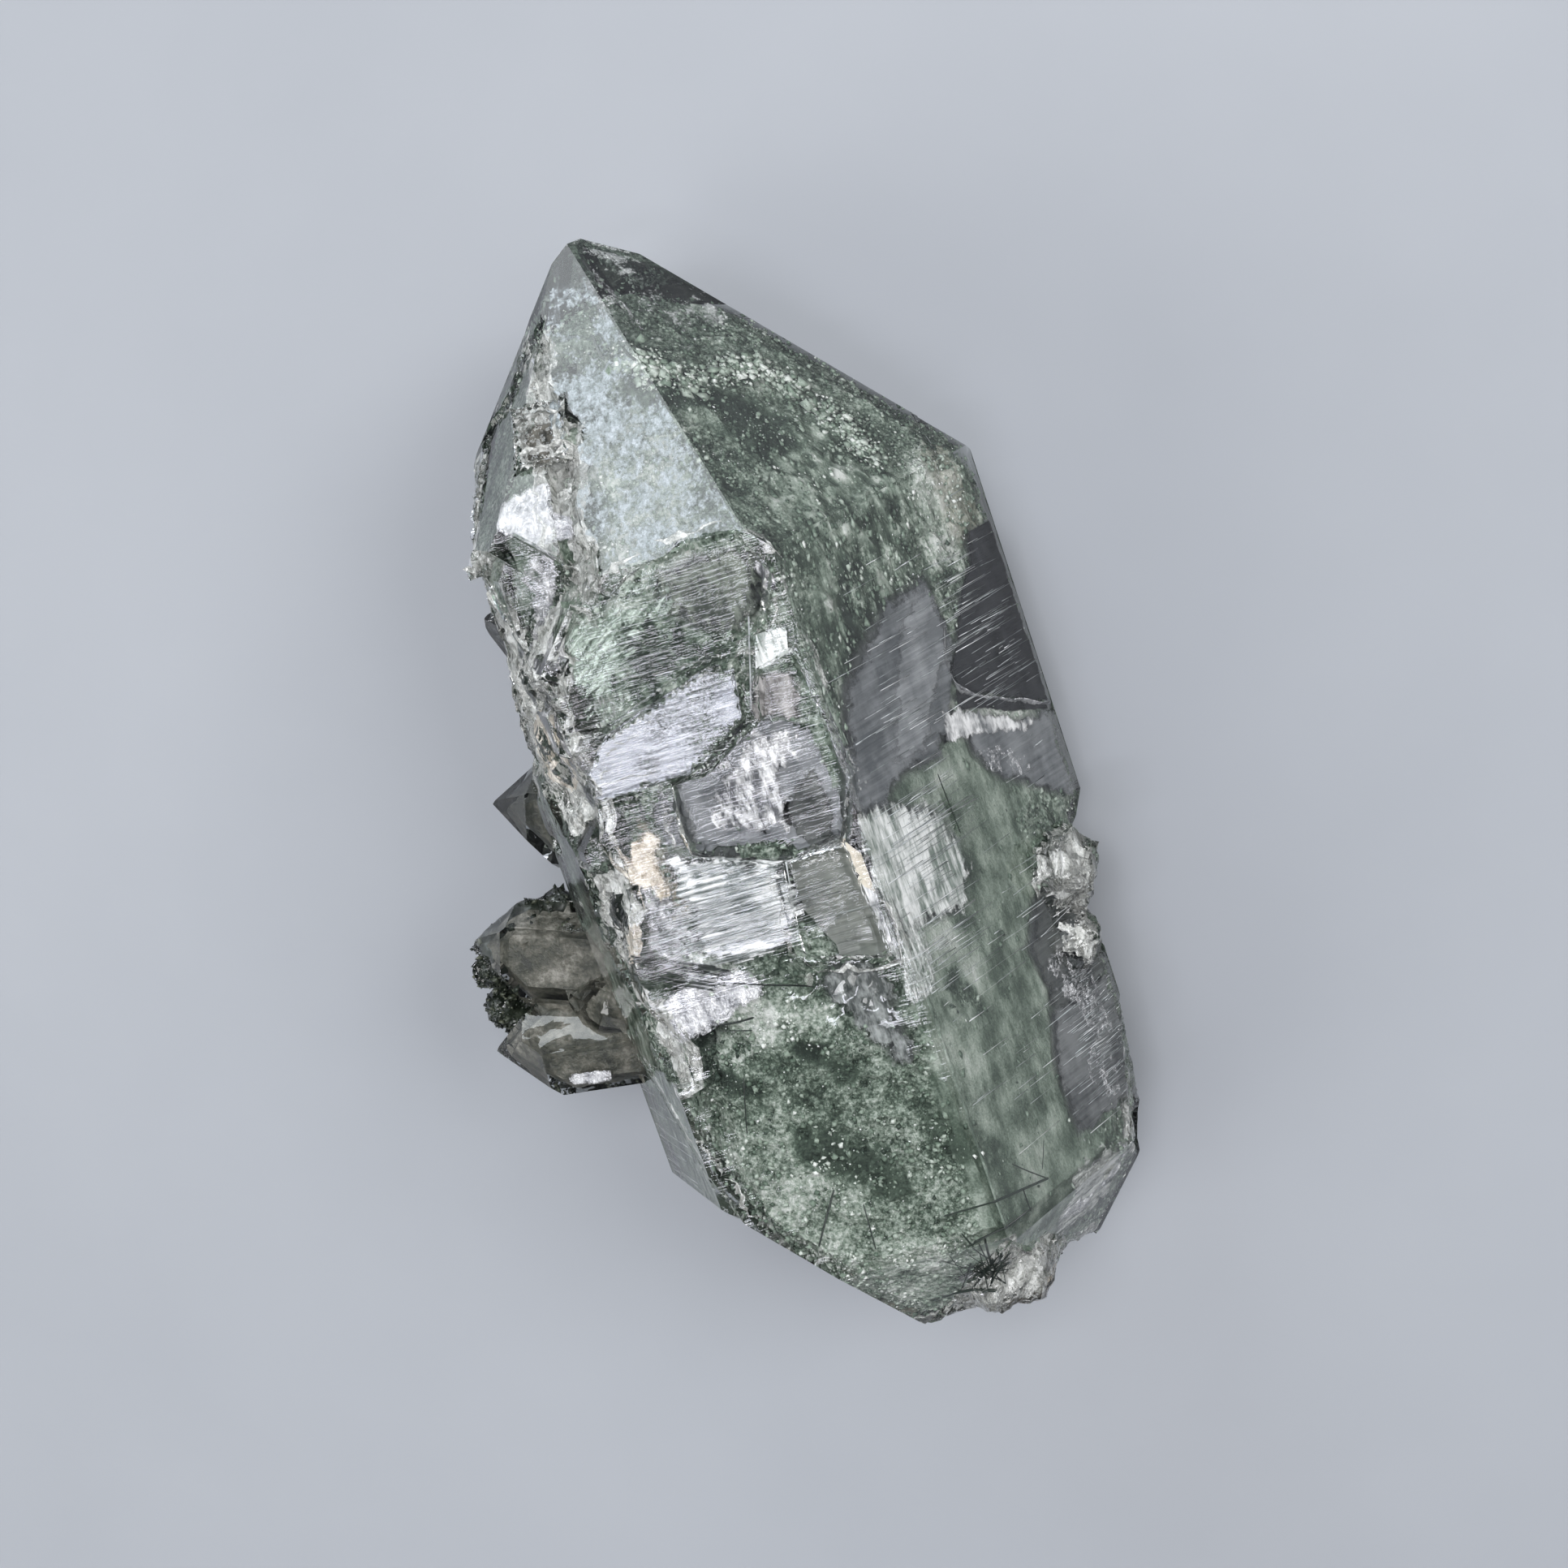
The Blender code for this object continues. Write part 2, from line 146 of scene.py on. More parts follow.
def broken_facets(points, size, seed):
    """The height of a crumbled surface of tilted flat chips, from about -1 to 1."""
    at = points / np.asarray(size, float)
    cell = np.floor(at).astype(np.int64)
    nearest = np.full(len(at), np.inf)
    height = np.zeros(len(at))
    for offset in itertools.product((-1, 0, 1), repeat=3):
        other = cell + np.array(offset)
        middle = other + np.stack([hashed(other, seed + k) for k in range(3)], axis=1)
        lean = np.stack([hashed(other, seed + 3 + k) for k in range(3)], axis=1) * 2.0 - 1.0
        gap = at - middle
        distance = (gap * gap).sum(axis=1)
        chip = (gap * lean).sum(axis=1) * 0.9 + (hashed(other, seed + 6) - 0.5) * 0.9
        closer = distance < nearest
        height[closer] = chip[closer]
        nearest[closer] = distance[closer]
    return height


def relief(points, mean, *layers):
    """A mean height with layers on it: each one's kind of noise, height, fineness or size, and seed."""
    return mean + sum(height * noise(points, grain, seed) for noise, height, grain, seed in layers)


def near_line(points, start, end, radius):
    """How far each point is from a line between two points, as a share of a radius."""
    a = np.asarray(start, float)
    run = np.asarray(end, float) - a
    along = np.clip((points - a) @ run / (run @ run), 0.0, 1.0)
    return np.linalg.norm(points - a - along[:, None] * run, axis=1) / radius


# How far the ragged border of a patch wanders, as a share of its radius.
RAGGED = 0.35


def patch(points, start, end, radius, seed=3):
    """1 along a line between two points, falling to 0 with a ragged border at a radius."""
    share = near_line(points, start, end, radius) + RAGGED * layered_noise(points, 0.9, seed)
    return smooth((1.15 - share) / 0.45)


# Crystal forms

def prism_normal(face):
    turn = math.radians(60 * face)
    return Vector((math.sin(turn), 0.0, math.cos(turn)))


def rhomb_normal(face, end):
    """The outward direction of a pyramid face at the sharp (1) or broken (-1) end."""
    side = prism_normal(face) * math.sin(RHOMB_ANGLE)
    return side + Vector((0.0, end * math.cos(RHOMB_ANGLE), 0.0))


def small_crystal_planes(centre, axis, roll, radius, half_length, inset=0.0):
    """The planes of a small six-sided crystal, moved in by inset."""
    along = Vector(axis).normalized()
    side = along.orthogonal().normalized()
    side.rotate(Matrix.Rotation(math.radians(roll), 3, along))
    other = along.cross(side)
    middle = Vector(centre)
    planes = []
    for k in range(6):
        turn = math.radians(60 * k)
        outward = side * math.cos(turn) + other * math.sin(turn)
        flank = radius * (1.0 + 0.12 * math.sin(2.3 * k + roll)) - inset
        planes.append((middle + outward * flank, outward))
        for end in (1, -1):
            slope = outward * math.sin(RHOMB_ANGLE) + along * end * math.cos(RHOMB_ANGLE)
            reach = half_length * math.cos(RHOMB_ANGLE) * (1.0 + 0.1 * math.cos(2.0 * k + end))
            planes.append((middle + slope * (reach - inset), slope))
    return planes


def block(planes):
    """A bmesh of the space inside every (point, normal) plane."""
    bm = bmesh.new()
    bmesh.ops.create_cube(bm, size=120.0)
    for point, normal in planes:
        geometry = bm.verts[:] + bm.edges[:] + bm.faces[:]
        cut = bmesh.ops.bisect_plane(
            bm, geom=geometry, dist=0.0001, plane_co=point, plane_no=normal, clear_outer=True)
        rim = [item for item in cut["geom_cut"] if isinstance(item, bmesh.types.BMEdge)]
        if rim:
            bmesh.ops.contextual_create(bm, geom=rim)
    bmesh.ops.triangulate(bm, faces=bm.faces)
    bmesh.ops.recalc_face_normals(bm, faces=bm.faces)
    return bm


def refine(bm, longest):
    """Splits edges until none is longer than this many millimetres."""
    for _ in range(9):
        split = [edge for edge in bm.edges if edge.calc_length() > longest]
        if not split:
            return
        bmesh.ops.subdivide_edges(bm, edges=split, cuts=1, use_grid_fill=True)
        bmesh.ops.triangulate(bm, faces=[face for face in bm.faces if len(face.verts) > 3])


def points_of(bm):
    bm.verts.ensure_lookup_table()
    return np.array([vert.co for vert in bm.verts])


def normals_of(bm):
    bm.normal_update()
    return np.array([vert.normal for vert in bm.verts])


def triangles_of(bm):
    bm.verts.index_update()
    return np.array([[vert.index for vert in face.verts] for face in bm.faces])


# Pieces

def add_piece(name, points, faces, material, fields, smooth_under=None):
    """A mesh piece from points in millimetres, with named numbers for each point."""
    mesh = bpy.data.meshes.new(name)
    faces = np.asarray(faces)
    mesh.vertices.add(len(points))
    mesh.vertices.foreach_set("co", to_frame(points).astype(np.float32).ravel())
    mesh.loops.add(faces.size)
    mesh.loops.foreach_set("vertex_index", faces.astype(np.int32).ravel())
    mesh.polygons.add(len(faces))
    mesh.polygons.foreach_set("loop_start", np.arange(len(faces), dtype=np.int32) * faces.shape[1])
    mesh.update(calc_edges=True)
    mesh.validate()
    for key, values in fields.items():
        field = mesh.attributes.new(key, "FLOAT", "POINT")
        field.data.foreach_set("value", np.asarray(values, np.float32))
    if smooth_under is not None:
        mesh.shade_smooth()
        mesh.set_sharp_from_angle(angle=math.radians(smooth_under))
    mesh.materials.append(material)
    piece = bpy.data.objects.new(name, mesh)
    bpy.context.scene.collection.objects.link(piece)
    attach(piece, BODY)
    return piece


# Material nodes

# The range that most values of a noise texture lie in.
NOISE_LOW, NOISE_HIGH = 0.3, 0.7


class Look:
    """A material while its nodes are put together."""

    def __init__(self, name):
        self.material = bpy.data.materials.new(name)
        self.material.use_nodes = True
        self.tree = self.material.node_tree

    def connect(self, source, socket):
        """Links a node's output, or sets a number, a colour as a tuple or a vector as a list."""
        if isinstance(source, bpy.types.NodeSocket):
            self.tree.links.new(source, socket)
        else:
            socket.default_value = (*source, 1.0) if isinstance(source, tuple) else source

    def node(self, kind, output, inputs, **settings):
        """Adds a node and gives one of its outputs."""
        node = self.tree.nodes.new("ShaderNode" + kind)
        for name, value in settings.items():
            setattr(node, name, value)
        for name, source in inputs.items():
            self.connect(source, node.inputs[name])
        return node.outputs[output]

    def shade(self, values):
        """Gives the shader its values and hands over the material."""
        for name, source in values.items():
            self.connect(source, self.tree.nodes["Principled BSDF"].inputs[name])
        return self.material

    def place(self, stretch=(1.0, 1.0, 1.0), turn=0.0):
        """Object coordinates in millimetres, turned about Z and stretched by axis."""
        values = {
            "Vector": self.node("TexCoord", "Object", {}), "Rotation": [0.0, 0.0, turn],
            "Scale": [MM / share for share in stretch]}
        return self.node("Mapping", "Vector", values, vector_type="TEXTURE")

    def noise(self, scale, detail, roughness, *layout):
        """Noise, with the stretch and turn of its place if they are given."""
        return self.node("TexNoise", "Fac", {
            "Vector": self.place(*layout), "Scale": scale, "Detail": detail, "Roughness": roughness})

    def chips(self, scale):
        """The distance to the nearest of scattered points."""
        return self.node("TexVoronoi", "Distance", {"Vector": self.place(), "Scale": scale})

    def field(self, name):
        """A number that the mesh holds for each point."""
        return self.node("Attribute", "Fac", {}, attribute_name=name)

    def ramp(self, value, stops):
        """The colour for a value, from stops that each give a value and its colour."""
        node = self.tree.nodes.new("ShaderNodeValToRGB")
        while len(node.color_ramp.elements) < len(stops):
            node.color_ramp.elements.new(0.5)
        for element, (position, colour) in zip(node.color_ramp.elements, stops):
            element.position = position
            element.color = (*colour, 1.0)
        self.connect(value, node.inputs["Fac"])
        return node.outputs["Color"]

    def mix(self, share, first, second):
        """The first colour where the share is 0, the second where it is 1."""
        return self.node("Mix", "Result", {"Factor": share, "A": first, "B": second}, data_type="RGBA")

    def calc(self, operation, first, second):
        return self.node("Math", "Value", {0: first, 1: second}, operation=operation)

    def add(self, first, *others):
        for other in others:
            first = self.calc("ADD", first, other)
        return first

    def between(self, share, first, second):
        """The first number where the share is 0, the second where it is 1."""
        return self.add(first, self.calc("MULTIPLY", share, self.calc("SUBTRACT", second, first)))

    def spread(self, value, out_low, out_high, low=NOISE_LOW, high=NOISE_HIGH):
        """Maps one range of values onto another, held at its ends."""
        return self.node("MapRange", "Result", {
            "Value": value, "From Min": low, "From Max": high, "To Min": out_low, "To Max": out_high})

    def bump(self, height, depth, strength=1.0, under=None):
        """A bump of so many millimetres, over another bump if there is one."""
        values = {"Distance": depth * MM, "Strength": strength, "Height": height}
        if under is not None:
            values["Normal"] = under
        return self.node("Bump", "Normal", values)


# Materials

def clear_quartz():
    """Clear quartz with growth lines across the prism and a crumbled skin on the breaks."""
    look = Look("clear_quartz")
    lines = look.noise(1.0, 3.0, 0.7, (0.10, 3.4, 0.10))
    normal = look.bump(lines, 0.035, look.field("growth_lines"))
    normal = look.bump(look.chips(2.4), 0.12, look.field("crumbled"), normal)
    normal = look.bump(look.noise(0.5, 2.0, 0.5), 0.02, 0.35, normal)
    absorbed = look.node("VolumeAbsorption", "Volume", {"Color": (0.80, 0.86, 0.82), "Density": 22.0})
    look.connect(absorbed, look.tree.nodes["Material Output"].inputs["Volume"])
    return look.shade({
        "Base Color": (0.985, 0.995, 0.99), "Roughness": 0.02, "IOR": 1.544, "Transmission Weight": 1.0,
        "Normal": normal})


def phantom_green():
    """Chlorite dust: sage green with dark clumps, pale crumbs and streaks along the long axis, and
    painted shade: darker hollows, near-black where it is open.
    """
    look = Look("phantom_green")
    mottled = look.noise(2.8, 5.0, 0.74)
    fine = look.noise(6.5, 3.0, 0.7)
    streaky = look.noise(1.2, 4.0, 0.58, (1.0, 0.30, 1.0))
    blotches = look.noise(0.6, 3.0, 0.6, (1.0, 0.5, 1.0))
    broad = look.noise(0.35, 2.0, 0.5)
    tone = look.between(look.field("streaks"), mottled, streaky)
    calm = look.add(look.spread(streaky, 0.44, 0.58), look.spread(blotches, -0.05, 0.05))
    tone = look.between(look.field("brushed"), tone, calm)
    tone = look.add(
        tone, look.spread(broad, -0.10, 0.06), look.field("paleness_and_hollow_shade"), look.spread(fine, -0.05, 0.05))
    torn = look.spread(look.add(mottled, fine), 0.0, 2.2, 0.80, 1.15)
    tone = look.calc("SUBTRACT", tone, look.calc("MULTIPLY", look.field("clumps"), torn))
    colour = look.ramp(tone, (
        (0.28, (0.016, 0.028, 0.020)), (0.42, (0.075, 0.110, 0.080)), (0.50, (0.205, 0.262, 0.210)),
        (0.60, (0.43, 0.50, 0.43)), (0.75, (0.86, 0.89, 0.85))))
    # The depth colour is painted shade: near-black in the clear windows, where the crystal shows only
    # darkness.
    stains_and_shade = {"rust": (0.50, 0.46, 0.37), "haze": (0.098, 0.109, 0.110), "depth": (0.010, 0.013, 0.013)}
    for name, tint in stains_and_shade.items():
        colour = look.mix(look.field(name), colour, tint)
    return look.shade({"Base Color": colour, "Roughness": 0.7, "Normal": look.bump(mottled, 0.25)})


def grain_material(name, stops, roughness, metallic=0.0):
    """Loose grains, each with a tone of its own from the mesh and a little mottling."""
    look = Look(name)
    tone = look.add(look.field("tone"), look.spread(look.noise(6.0, 2.0, 0.6), -0.1, 0.1))
    return look.shade({
        "Base Color": look.ramp(tone, stops), "Roughness": roughness, "Metallic": metallic})


def smoky_material():
    """Smoky quartz seen through its own skin: olive brown, cloudy, with dark flecks."""
    look = Look("smoky_quartz")
    flecks = look.noise(3.2, 3.0, 0.7)
    tone = look.add(look.noise(0.55, 3.0, 0.6), look.spread(flecks, -0.10, 0.10))
    colour = look.ramp(look.calc("SUBTRACT", tone, look.field("clumps")), (
        (0.28, (0.018, 0.020, 0.015)), (0.43, (0.060, 0.062, 0.047)), (0.56, (0.130, 0.126, 0.102)),
        (0.74, (0.34, 0.33, 0.29))))
    return look.shade({"Base Color": colour, "Roughness": 0.45, "Normal": look.bump(flecks, 0.15)})


# Films of air or dust, and films that paint sheen and a reflection: dark and light tones, how metallic,
# rough and thin they are, and the stretch and turn of their ripples where these differ.
FILMS = {
    "fracture_film": ((0.34, 0.35, 0.38), (0.97, 0.97, 0.99), 0.4, 0.25, 0.3),
    "green_streaks": (
        (0.26, 0.36, 0.29), (0.72, 0.82, 0.74), 0.0, 0.5, 0.5, (0.25, 1.7, 1.0), math.radians(32)),
    "cream_patch": ((0.50, 0.42, 0.32), (0.95, 0.90, 0.80), 0.05, 0.5, 0.2),
    # Painted reflection: white streaks for a bright inner reflection near the front edge.
    "painted_reflection_streaks": ((0.42, 0.50, 0.45), (0.97, 0.98, 0.98), 0.1, 0.4, 0.6, (1.7, 0.35, 1.7)),
    "end_fibres": ((0.26, 0.29, 0.27), (0.88, 0.90, 0.88), 0.1, 0.4, 0.4, (0.25, 1.9, 0.25)),
    "smoky_block": ((0.020, 0.020, 0.016), (0.20, 0.19, 0.16), 0.0, 0.3, 0.1),
    "step_flecks": ((0.16, 0.17, 0.19), (0.98, 0.98, 0.99), 0.2, 0.3, 0.8, (1.7, 0.6, 1.7)),
    "frosted_film": ((0.33, 0.34, 0.31), (0.93, 0.94, 0.92), 0.25, 0.3, 0.3),
    "cream_film": ((0.42, 0.36, 0.28), (0.93, 0.88, 0.79), 0.10, 0.4, 0.3),
    # Painted sheen: a pale blue film with flecks under the upper faces.
    "blue_painted_sheen": ((0.20, 0.26, 0.26), (0.52, 0.58, 0.63), 0.10, 0.4, 0.7, (1.5, 0.6, 1.5)),
    "tip_haze": ((0.36, 0.38, 0.37), (0.78, 0.80, 0.80), 0.30, 0.3, 0.5, (0.5, 1.0, 0.5)),
    # Painted sheen: a lavender film that stands in for the plate's reflection.
    "lavender_sheen": ((0.47, 0.49, 0.55), (0.82, 0.84, 0.90), 0.35, 0.3, 0.2, (0.22, 3.0, 0.5)),
}


def film_material(name, dark, light, metallic, roughness, thinness, stretch=(1.0, 0.45, 1.0), turn=0.0):
    """A film inside the crystal, see-through in streaks and along its rim."""
    look = Look(name)
    ripples = look.noise(1.5, 4.0, 0.68, stretch, turn)
    sparkle = look.noise(4.5, 2.0, 0.7)
    height = look.add(ripples, look.calc("MULTIPLY", sparkle, 0.35))
    cover = look.add(
        look.spread(ripples, -thinness, 0.5), look.field("cover"),
        look.spread(sparkle, -0.3, 0.3, 0.35, 0.65))
    return look.shade({
        "Base Color": look.ramp(ripples, ((0.35, dark), (0.65, light))), "Metallic": metallic,
        "Roughness": roughness, "Normal": look.bump(height, 0.35),
        "Alpha": look.spread(cover, 0.0, 1.0, 0.15, 0.95)})


# The contrast of lines that are too faint to open a patch.
FAINT_LINES = 0.09


def patch_material(name, dark, light, stretch, contrast):
    """A glassy depth inside the crystal, painted shade in its darkest kinds: soft tones with lines,
    which open it where they are strong.
    """
    look = Look(name)
    soft = look.noise(0.5, 4.0, 0.6, (0.9, 0.5, 0.9))
    lines = look.noise(1.0, 4.0, 0.68, stretch)
    tone = look.add(soft, look.spread(lines, -contrast, contrast))
    opening = 2.0 * (contrast - FAINT_LINES)
    cover = look.add(
        look.field("cover"), look.spread(look.noise(1.7, 4.0, 0.7), -0.3, 0.3),
        look.spread(lines, -opening, opening))
    return look.shade({
        "Base Color": look.ramp(tone, ((0.34, dark), (0.66, light))), "Roughness": 0.35,
        "Normal": look.bump(lines, 0.08), "Alpha": look.spread(cover, 0.0, 1.0, 0.25, 0.65)})


def floor_material():
    """Plain pale grey with a faint cloud in it."""
    look = Look("pale_floor")
    cloud = look.noise(0.02, 4.0, 0.6)
    colour = look.ramp(cloud, ((0.3, (0.36, 0.38, 0.41)), (0.7, (0.39, 0.41, 0.44))))
    return look.shade({"Base Color": colour, "Roughness": 0.6})


# The clear crystal

FLAT_COSINE = math.cos(math.radians(1.5))
SHARP_ANGLE = math.radians(7)
ROUGH, PRISM_FACE, PYRAMID_FACE, SIDE_FACE, CRUST = range(5)
FLAT_KINDS = (PRISM_FACE, PYRAMID_FACE, SIDE_FACE)
GLASS_EDGE = 0.66
# The skin's depth on each kind of face: its mean, and each layer's noise, height, fineness or chip
# size, and seed.
SKIN_RELIEF = {
    PRISM_FACE: (
        0.055, (soft_noise, 0.03025, (0.09, 0.75, 0.09), 11),
        (soft_noise, 0.01925, (0.14, 1.5, 0.14), 12)),
    PYRAMID_FACE: (0.02, (soft_noise, 0.02, 0.4, 21)),
    ROUGH: (0.30, (broken_facets, 0.26, (1.1, 1.6, 1.1), 31), (broken_facets, 0.10, 0.7, 41)),
    SIDE_FACE: (0.03, (layered_noise, 0.03, 0.8, 51)),
    CRUST: (0.16, (broken_facets, 0.16, 0.9, 61)),
}
# On flat faces the relief fades out this near to a sharp edge.
CLEAN_BORDER = 0.7


def solid_bmesh():
    """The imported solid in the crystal's own frame, with its points joined."""
    bm = bmesh.new()
    bm.from_mesh(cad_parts[NODE].data)
    for vert in bm.verts:
        vert.co = Vector(np.array(vert.co) / MM - SHIFT)
    bmesh.ops.remove_doubles(bm, verts=bm.verts, dist=0.002)
    bmesh.ops.triangulate(bm, faces=bm.faces)
    bm.normal_update()
    return bm


def face_kind(face, side_normals):
    """What a face of the solid is: rough, prism, pyramid, side crystal or crust."""
    middle, normal = face.calc_center_median(), face.normal
    if any((middle - Vector(knob)).length < CRUST_REACH for knob in CRUST_KNOBS):
        return CRUST
    for centre, radii in HEALED_KNOBS:
        if sum(((middle[i] - centre[i]) / radii[i]) ** 2 for i in range(3)) < 1.4:
            return ROUGH
    if abs(normal.y) < 0.08 and max(normal.dot(prism_normal(k)) for k in range(6)) > 0.996:
        return PRISM_FACE
    slopes = [rhomb_normal(k, end) for k in range(6) for end in (1, -1)]
    if max(normal.dot(slope) for slope in slopes) > FLAT_COSINE:
        return PYRAMID_FACE
    if middle.x < -12.0 and max(normal.dot(side) for side in side_normals) > FLAT_COSINE:
        return SIDE_FACE
    return ROUGH


def kind_shares(bm, layer, kind):
    """For each point, the share of its faces that are of a kind."""
    return np.array([
        sum(face[layer] == kind for face in vert.link_faces) / max(1, len(vert.link_faces))
        for vert in bm.verts])


def gap_to_edges(bm, points):
    """Each point's distance to the nearest sharp edge."""
    sharp = set()
    for edge in bm.edges:
        if len(edge.link_faces) == 2 and edge.calc_face_angle() > SHARP_ANGLE:
            sharp.update((edge.verts[0].index, edge.verts[1].index))
    tree = KDTree(len(sharp))
    for index in sharp:
        tree.insert(points[index], index)
    tree.balance()
    return np.array([tree.find(point)[2] for point in points])


# Fine cuts in the surface: start, end, half width and depth.
GROOVES = (
    ((4.3, 16.3, 23.2), (0.3, 7.4, 23.0), 0.35, 0.30),
    ((3.4, 17.0, 23.2), (-0.4, 8.2, 23.0), 0.30, 0.18),
    ((11.4, 6.2, 13.0), (10.3, 4.3, 14.9), 0.30, 0.16),
    ((10.3, 4.3, 14.9), (12.7, 1.4, 10.7), 0.30, 0.16),
    ((12.7, 1.4, 10.7), (15.6, -0.8, 5.7), 0.30, 0.14),
    ((9.1, -0.7, 16.9), (9.2, -4.8, 16.7), 0.22, 0.15),
    ((3.0, -9.8, 23.3), (2.8, -12.9, 23.3), 0.40, 0.12),
)
# Round pits: centre and radius. The depth is a share of the radius.
PIT_DEPTH = 0.45
PITS = (
    ((-8.1, 33.5, 11.9), 0.45), ((10.7, -30.9, 12.5), 0.6), ((-2.0, -9.4, 23.4), 0.8),
    ((0.6, -10.2, 23.4), 0.9), ((2.0, -11.6, 23.4), 0.7), ((-0.6, -11.6, 23.4), 0.55))
# Where the front face is calm, with hardly a growth line: start, end and radius.
CALM_SKIN = ((-4.0, -13.5, 23.4), (0.0, -27.0, 23.4), 9.0)
CALMNESS = 0.85


def clear_crystal(material):
    """The outer surface: the solid's own faces with growth lines, cuts and crumbled breaks."""
    bm = solid_bmesh()
    layer = bm.faces.layers.int.new("kind")
    side_normals = [n for layout in SIDE_CRYSTALS.values() for _, n in small_crystal_planes(*layout)]
    for face in bm.faces:
        face[layer] = face_kind(face, side_normals)
    refine(bm, GLASS_EDGE)
    points, normals = points_of(bm), normals_of(bm)
    bm.verts.index_update()
    shares = {kind: kind_shares(bm, layer, kind) for kind in SKIN_RELIEF}
    lined = shares[PRISM_FACE] * (1.0 - CALMNESS * patch(points, *CALM_SKIN))
    shares[PRISM_FACE] = lined
    clean = smooth(gap_to_edges(bm, points) / CLEAN_BORDER)
    depth = np.zeros(len(points))
    for kind, layers in SKIN_RELIEF.items():
        height = relief(points, *layers)
        if kind == ROUGH:
            height = np.clip(height, 0.0, None)
        depth += shares[kind] * (clean if kind in FLAT_KINDS else 1.0) * height
    for start, end, width, cut in GROOVES:
        depth += cut * np.exp(-near_line(points, start, end, width) ** 2)
    for centre, radius in PITS:
        share = np.linalg.norm(points - np.array(centre), axis=1) / radius
        depth += PIT_DEPTH * radius * np.clip(1.0 - share ** 2, 0.0, None)
    points = points - normals * depth[:, None]
    fields = {"growth_lines": lined, "crumbled": shares[ROUGH] * 0.8 + shares[CRUST]}
    faces = triangles_of(bm)
    bm.free()
    piece = add_piece("clear_quartz_crystal", points, faces, material, fields, smooth_under=26)
    piece.visible_shadow = False
    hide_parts(NODE)
    return points, normals, faces, shares[ROUGH]


def film(points, faces, thickness):
    """Closes an open sheet into a thin body: a second side and a strip round the rim."""
    count = len(points)
    edges = np.concatenate([faces[:, [0, 1]], faces[:, [1, 2]], faces[:, [2, 0]]])
    keys = {tuple(edge) for edge in edges}
    rim = np.array([edge for edge in keys if (edge[1], edge[0]) not in keys])
    a, b = rim[:, 0], rim[:, 1]
    walls = [np.stack([b, a, a + count], axis=1), np.stack([b, a + count, b + count], axis=1)]
    both = np.concatenate([points, points - thickness])
    return both, np.concatenate([faces, faces[:, ::-1] + count] + walls)


# The green phantom

PHANTOM_EDGE = 0.62
SHELL_THICKNESS = 0.22
# The share of openness from which the shell is torn away.
TORN = 0.62
# The shell's least depth under the crystal's surface, and how much more its relief asks for.
SKIN = 0.40
SKIN_BY_RELIEF = 0.7
# Its relief: the mean, the layers and the height of the turf.
RELIEF_MEAN = 0.45
RELIEF_LAYERS = ((layered_noise, 0.30, 0.7, 91), (broken_facets, 0.34, 0.95, 92))
TURF_HEIGHT = 0.45
# How much of the relief is lost where it is brushed, and where a patch covers it.
BRUSHED_LOSS = 0.85
COVERED_LOSS = 0.7
# How far the shell curls down at an opening.
CURL = 2.2
# Painted shade: how much darker the shell's hollows are painted than its crests, for each millimetre.
PAINTED_HOLLOW_SHADE = 0.16
# How far the phantom lies under each face of the main crystal.
PRISM_COVER = (0.9, 0.8, -1.8, 1.0, 1.4, 1.6)
SHARP_COVER = (1.3, 1.2, 1.3, 1.4, 1.5, 1.6)
BROKEN_COVER = (1.0, 1.0, 1.2, 1.2, 1.2, 1.1)
# More planes that bound it: the bare tip, the rough left side and the broken end.
PHANTOM_CUTS = (
    ((-0.5, 28.4, 16.0), (0.46, 0.88, 0.12)),
    ((-6.0, 31.6, 12.0), (-0.05, 0.998, 0.04)),
    ((-13.2, 3.0, 15.8), (-0.80, 0.05, 0.60)),
    ((-14.4, 14.0, 12.0), (-0.99, 0.13, 0.03)),
    ((-7.8, 23.6, 15.4), (-0.61, 0.45, 0.65)),
    ((-12.2, -20.0, 17.0), (-0.93, -0.30, 0.22)),
    ((-13.2, 21.5, 11.0), (-0.86, 0.50, 0.05)),
    ((13.2, -21.0, 8.5), (0.985, -0.17, 0.05)),
    ((0.5, -35.2, 13.0), (0.05, -0.99, 0.10)),
)
# Clear windows, where the phantom curls down and is missing: start, end, radius and strength.
CLEAR_ZONES = (
    ((-9.0, 31.0, 12.0), (-4.4, 33.0, 13.0), 2.2, 1.0),
    ((-13.0, 12.0, 17.0), (-14.0, -5.0, 17.0), 3.8, 1.0),
    ((-9.5, 25.4, 16.0), (-8.0, 29.5, 14.0), 2.8, 1.0),
    ((-11.6, -8.6, 21.0), (-9.2, -11.4, 21.0), 1.9, 1.0),
    ((-10.0, -18.0, 1.0), (-4.0, -27.0, 3.0), 3.2, 1.0),
    ((-15.0, 8.0, 6.0), (-13.0, 20.0, 5.0), 3.0, 1.0),
    ((2.0, 6.0, 0.0), (-4.0, 16.0, 0.0), 3.6, 1.0),
)
